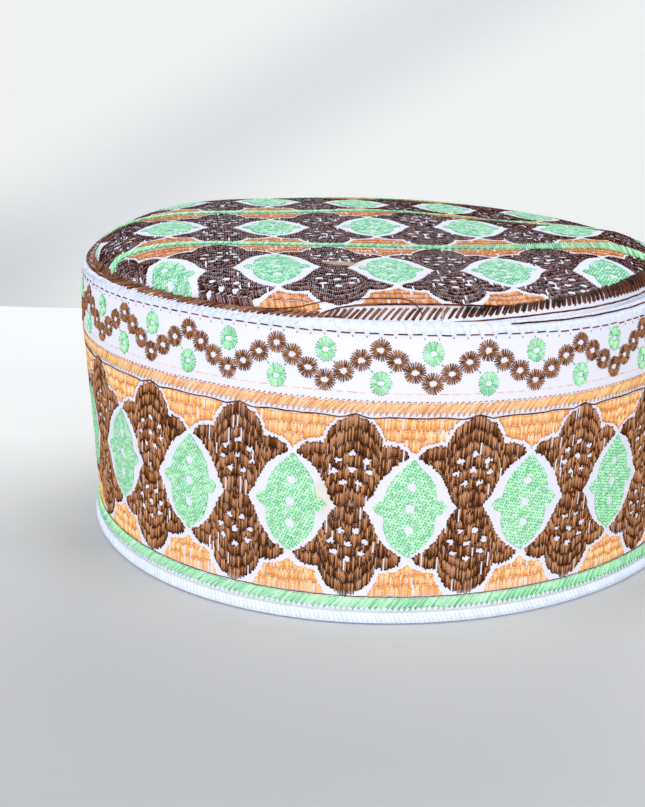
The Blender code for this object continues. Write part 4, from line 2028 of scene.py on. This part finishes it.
@dataclass
class Studio:
    """A plain pale floor and backdrop, soft lights, and the camera at the photo's angle."""

    form: CapForm
    lens: float = 1243.94 / 807.0 * 36.0
    camera_place: Pair = (-381.3, 144.46)
    yaw: float = -0.0489
    pitch: float = 0.2913
    roll: float = 0.016
    table_end: float = 267.0
    wall_distance: float = 2300.0
    # Painted shade: the wall's lower left corner, and the table in front on the left.
    wall_shade: StainAndPaintedShade = StainAndPaintedShade((-1117.0, 2300.0, -453.0), (579.0, 500.0, 400.0), "#A2A4A7", 0.22)
    table_shade: StainAndPaintedShade = StainAndPaintedShade((-200.0, -160.0, 0.0), (240.0, 230.0, 1000.0), "#A2A4A7", 0.24)
    lights: tuple[Softbox, ...] = (
        Softbox("key", (-0.3, -1.3, 0.55), 0.8, 13.0, "#FFFFFF"),
        Softbox("right_fill", (1.1, -0.7, 0.6), 0.7, 6.5, "#FFFFFF"),
        Softbox("left_fill", (-1.2, -0.3, 0.5), 0.7, 4.5, "#F4F7FF"),
        Softbox("top", (0.1, -0.3, 1.3), 0.8, 4.0, "#FFFFFF"),
        Softbox("back_fill", (0.1, 1.1, 0.9), 0.8, 8.0, "#FFFFFF"),
    )

    def build(self) -> None:
        """Build the studio."""
        self.camera()
        self.backdrop()
        for light in self.lights:
            self.light(light)
        self.world()
        bpy.context.scene.view_settings.view_transform = "Standard"

    def camera(self) -> None:
        """The camera, by its place in front of the cap's axis and its turns."""
        data = bpy.data.cameras.new("camera")
        data.lens = self.lens
        data.sensor_width = 36.0
        data.sensor_fit = "AUTO"
        data.clip_start, data.clip_end = 0.01, 20.0
        camera = bpy.data.objects.new("camera", data)
        sy, cy = math.sin(self.yaw), math.cos(self.yaw)
        sp, cp = math.sin(self.pitch), math.cos(self.pitch)
        forward = Vector((cp * sy, cp * cy, -sp))
        level = Vector((cy, -sy, 0.0))
        upright = Vector((sp * sy, sp * cy, cp))
        right = math.cos(self.roll) * level + math.sin(self.roll) * upright
        up = math.cos(self.roll) * upright - math.sin(self.roll) * level
        turn = Matrix((right, up, -forward)).transposed().to_4x4()
        middle = self.form.middle
        place = Vector((-middle[0], self.camera_place[0] - middle[1], self.camera_place[1])) * MM
        camera.matrix_world = Matrix.Translation(place) @ turn
        bpy.context.scene.collection.objects.link(camera)
        bpy.context.scene.camera = camera

    def backdrop(self) -> None:
        """The table, whose far edge the photo shows behind the cap, and a distant wall beyond it."""
        reach, bend, drop, top = 8.0, 0.004, 0.9, 4.0
        end = (self.table_end - self.form.middle[1]) * MM
        back = self.wall_distance * MM
        table = [(-reach, 0.0), (-0.4, 0.0), (end - bend, 0.0)]
        for step in range(1, 9):
            turn = step / 8.0 * math.pi / 2.0
            table.append((end - bend + bend * math.sin(turn), bend * math.cos(turn) - bend))
        table += [(end, -drop), (back, -drop)]
        self._sheet("studio_floor", table, reach, self.table_paper())
        wall = self._sheet("studio_wall", [(back, -drop), (back, top)], reach, self.wall_paper())
        wall.visible_diffuse = False
        wall.visible_glossy = False

    @staticmethod
    def _sheet(name: str, profile: list[Pair], reach: float, material: Material) -> bpy.types.Object:
        """Make a wide sheet of backdrop paper.

        Args:
            name: the object's name.
            profile: the sheet's (y, z) points, in metres.
            reach: how far it goes to each side.
            material: its finish.

        Returns:
            The sheet, marked as part of the stage.
        """
        verts = [(x, y, z) for y, z in profile for x in (-reach, reach)]
        faces = [(2 * row, 2 * row + 1, 2 * row + 3, 2 * row + 2) for row in range(len(profile) - 1)]
        mesh = bpy.data.meshes.new(name)
        mesh.from_pydata(verts, [], faces)
        mesh.shade_smooth()
        mesh.materials.append(material)
        sheet = bpy.data.objects.new(name, mesh)
        bpy.context.scene.collection.objects.link(sheet)
        sheet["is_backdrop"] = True
        return sheet

    def table_paper(self) -> Material:
        """Matt paper on the table, with painted shade: a little darker towards the viewer and in front on the
        left.
        """
        material, tree = blank_material("paper_matt_table")
        coordinates = add_node(tree, "TexCoord")
        parts = add_node(tree, "SeparateXYZ", {0: coordinates.outputs["Object"]})
        depth = add_node(tree, "MapRange", {"Value": parts.outputs["Y"], "From Min": -0.2, "From Max": 0.2})
        plain = add_node(tree, "ValToRGB", {0: depth.outputs[0]})
        # Painted shade: the paper darkens towards the viewer and brightens towards the table's far edge.
        near = [(0.05, "#BEBFC1"), (0.27, "#CFD0D2"), (0.38, "#CECFD0")]
        ramp(plain, near + [(0.62, "#F4F5F4"), (0.9, "#F8F9F8")])
        shaded = self.table_shade.tint(tree, plain.outputs[0])
        shader = add_node(
            tree, "BsdfPrincipled", {"Base Color": shaded, "Roughness": 0.9, "Specular IOR Level": 0.15}
        )
        add_node(tree, "OutputMaterial", {0: shader.outputs[0]})
        return material

    def wall_paper(self) -> Material:
        """Matt paper on the wall, glowing with painted light of its own, with a painted soft slanting shadow
        and a corner darkened by painted shade.
        """
        material, tree = blank_material("paper_matt_wall")
        coordinates = add_node(tree, "TexCoord")
        # Painted shadow: a soft slanting band across the paper.
        across = add_node(
            tree,
            "VectorMath",
            {0: coordinates.outputs["Object"], 1: (-0.51, 0.0, 0.86)},
            operation="DOT_PRODUCT",
        )
        off = add_node(tree, "Math", {0: across.outputs["Value"], 1: 0.111}, operation="SUBTRACT")
        away = add_node(tree, "Math", {0: off.outputs[0]}, operation="ABSOLUTE")
        fold = add_node(
            tree,
            "MapRange",
            {"Value": away.outputs[0], "From Min": 0.2275, "From Max": 0.0, "To Max": 0.8},
            interpolation_type="SMOOTHSTEP",
        )
        painted_slant_shadow = add_node(
            tree,
            "Mix",
            {0: fold.outputs[0], 6: to_linear("#DEDFDD"), 7: to_linear("#C8CACC")},
            data_type="RGBA",
        )
        shaded = self.wall_shade.tint(tree, painted_slant_shadow.outputs[2])
        # Painted light: the paper glows in its own colour, though it is no lamp.
        shader = add_node(
            tree,
            "BsdfPrincipled",
            {
                "Base Color": shaded,
                "Roughness": 0.9,
                "Specular IOR Level": 0.0,
                "Emission Color": shaded,
                "Emission Strength": 0.7,
            },
        )
        add_node(tree, "OutputMaterial", {0: shader.outputs[0]})
        return material

    def light(self, softbox: Softbox) -> None:
        """Add one soft light."""
        data = bpy.data.lights.new(softbox.name, "AREA")
        data.energy = softbox.watts
        data.size = softbox.size
        data.color = to_linear(softbox.colour)[:3]
        light = bpy.data.objects.new(softbox.name, data)
        light.location = softbox.place
        aim = Vector((0.0, 0.0, 0.04)) - Vector(softbox.place)
        light.visible_camera = False
        light.rotation_mode = "QUATERNION"
        light.rotation_quaternion = aim.to_track_quat("-Z", "Y")
        bpy.context.scene.collection.objects.link(light)

    def world(self) -> None:
        """Even white light from all round."""
        world = bpy.data.worlds.new("studio_world")
        world.use_nodes = True
        background = world.node_tree.nodes["Background"]
        background.inputs["Color"].default_value = to_linear("#F4F7FF")
        background.inputs["Strength"].default_value = 0.3
        bpy.context.scene.world = world


def write_sizes(cad_box: tuple[Vector, Vector]) -> None:
    """Measure the visual model's box beside the CAD model's; neither is kept."""
    boxes = {"cad": cad_box, "visual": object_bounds()}
    {name: [list(corner) for corner in box] for name, box in boxes.items()}


def main() -> None:
    """Build the cap's looks round its frame."""
    logging.basicConfig(level=logging.INFO, format="%(message)s")
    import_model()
    cad_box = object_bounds()
    form = CapForm()
    LOG.info("plan middle %.3f %.3f", *form.middle)
    wall = WallChart(form, turn=576.6)
    rim = RimChart(form)
    Studio(form).build()
    SideBand(form, wall).build()
    CrownPanel(form, CrownChart(form, turn=0.120), rim).build()
    CrownSeam(form, wall, rim).build()
    HemEdging(form, wall).build()
    write_sizes(cad_box)


if __name__ == "__main__":
    main()
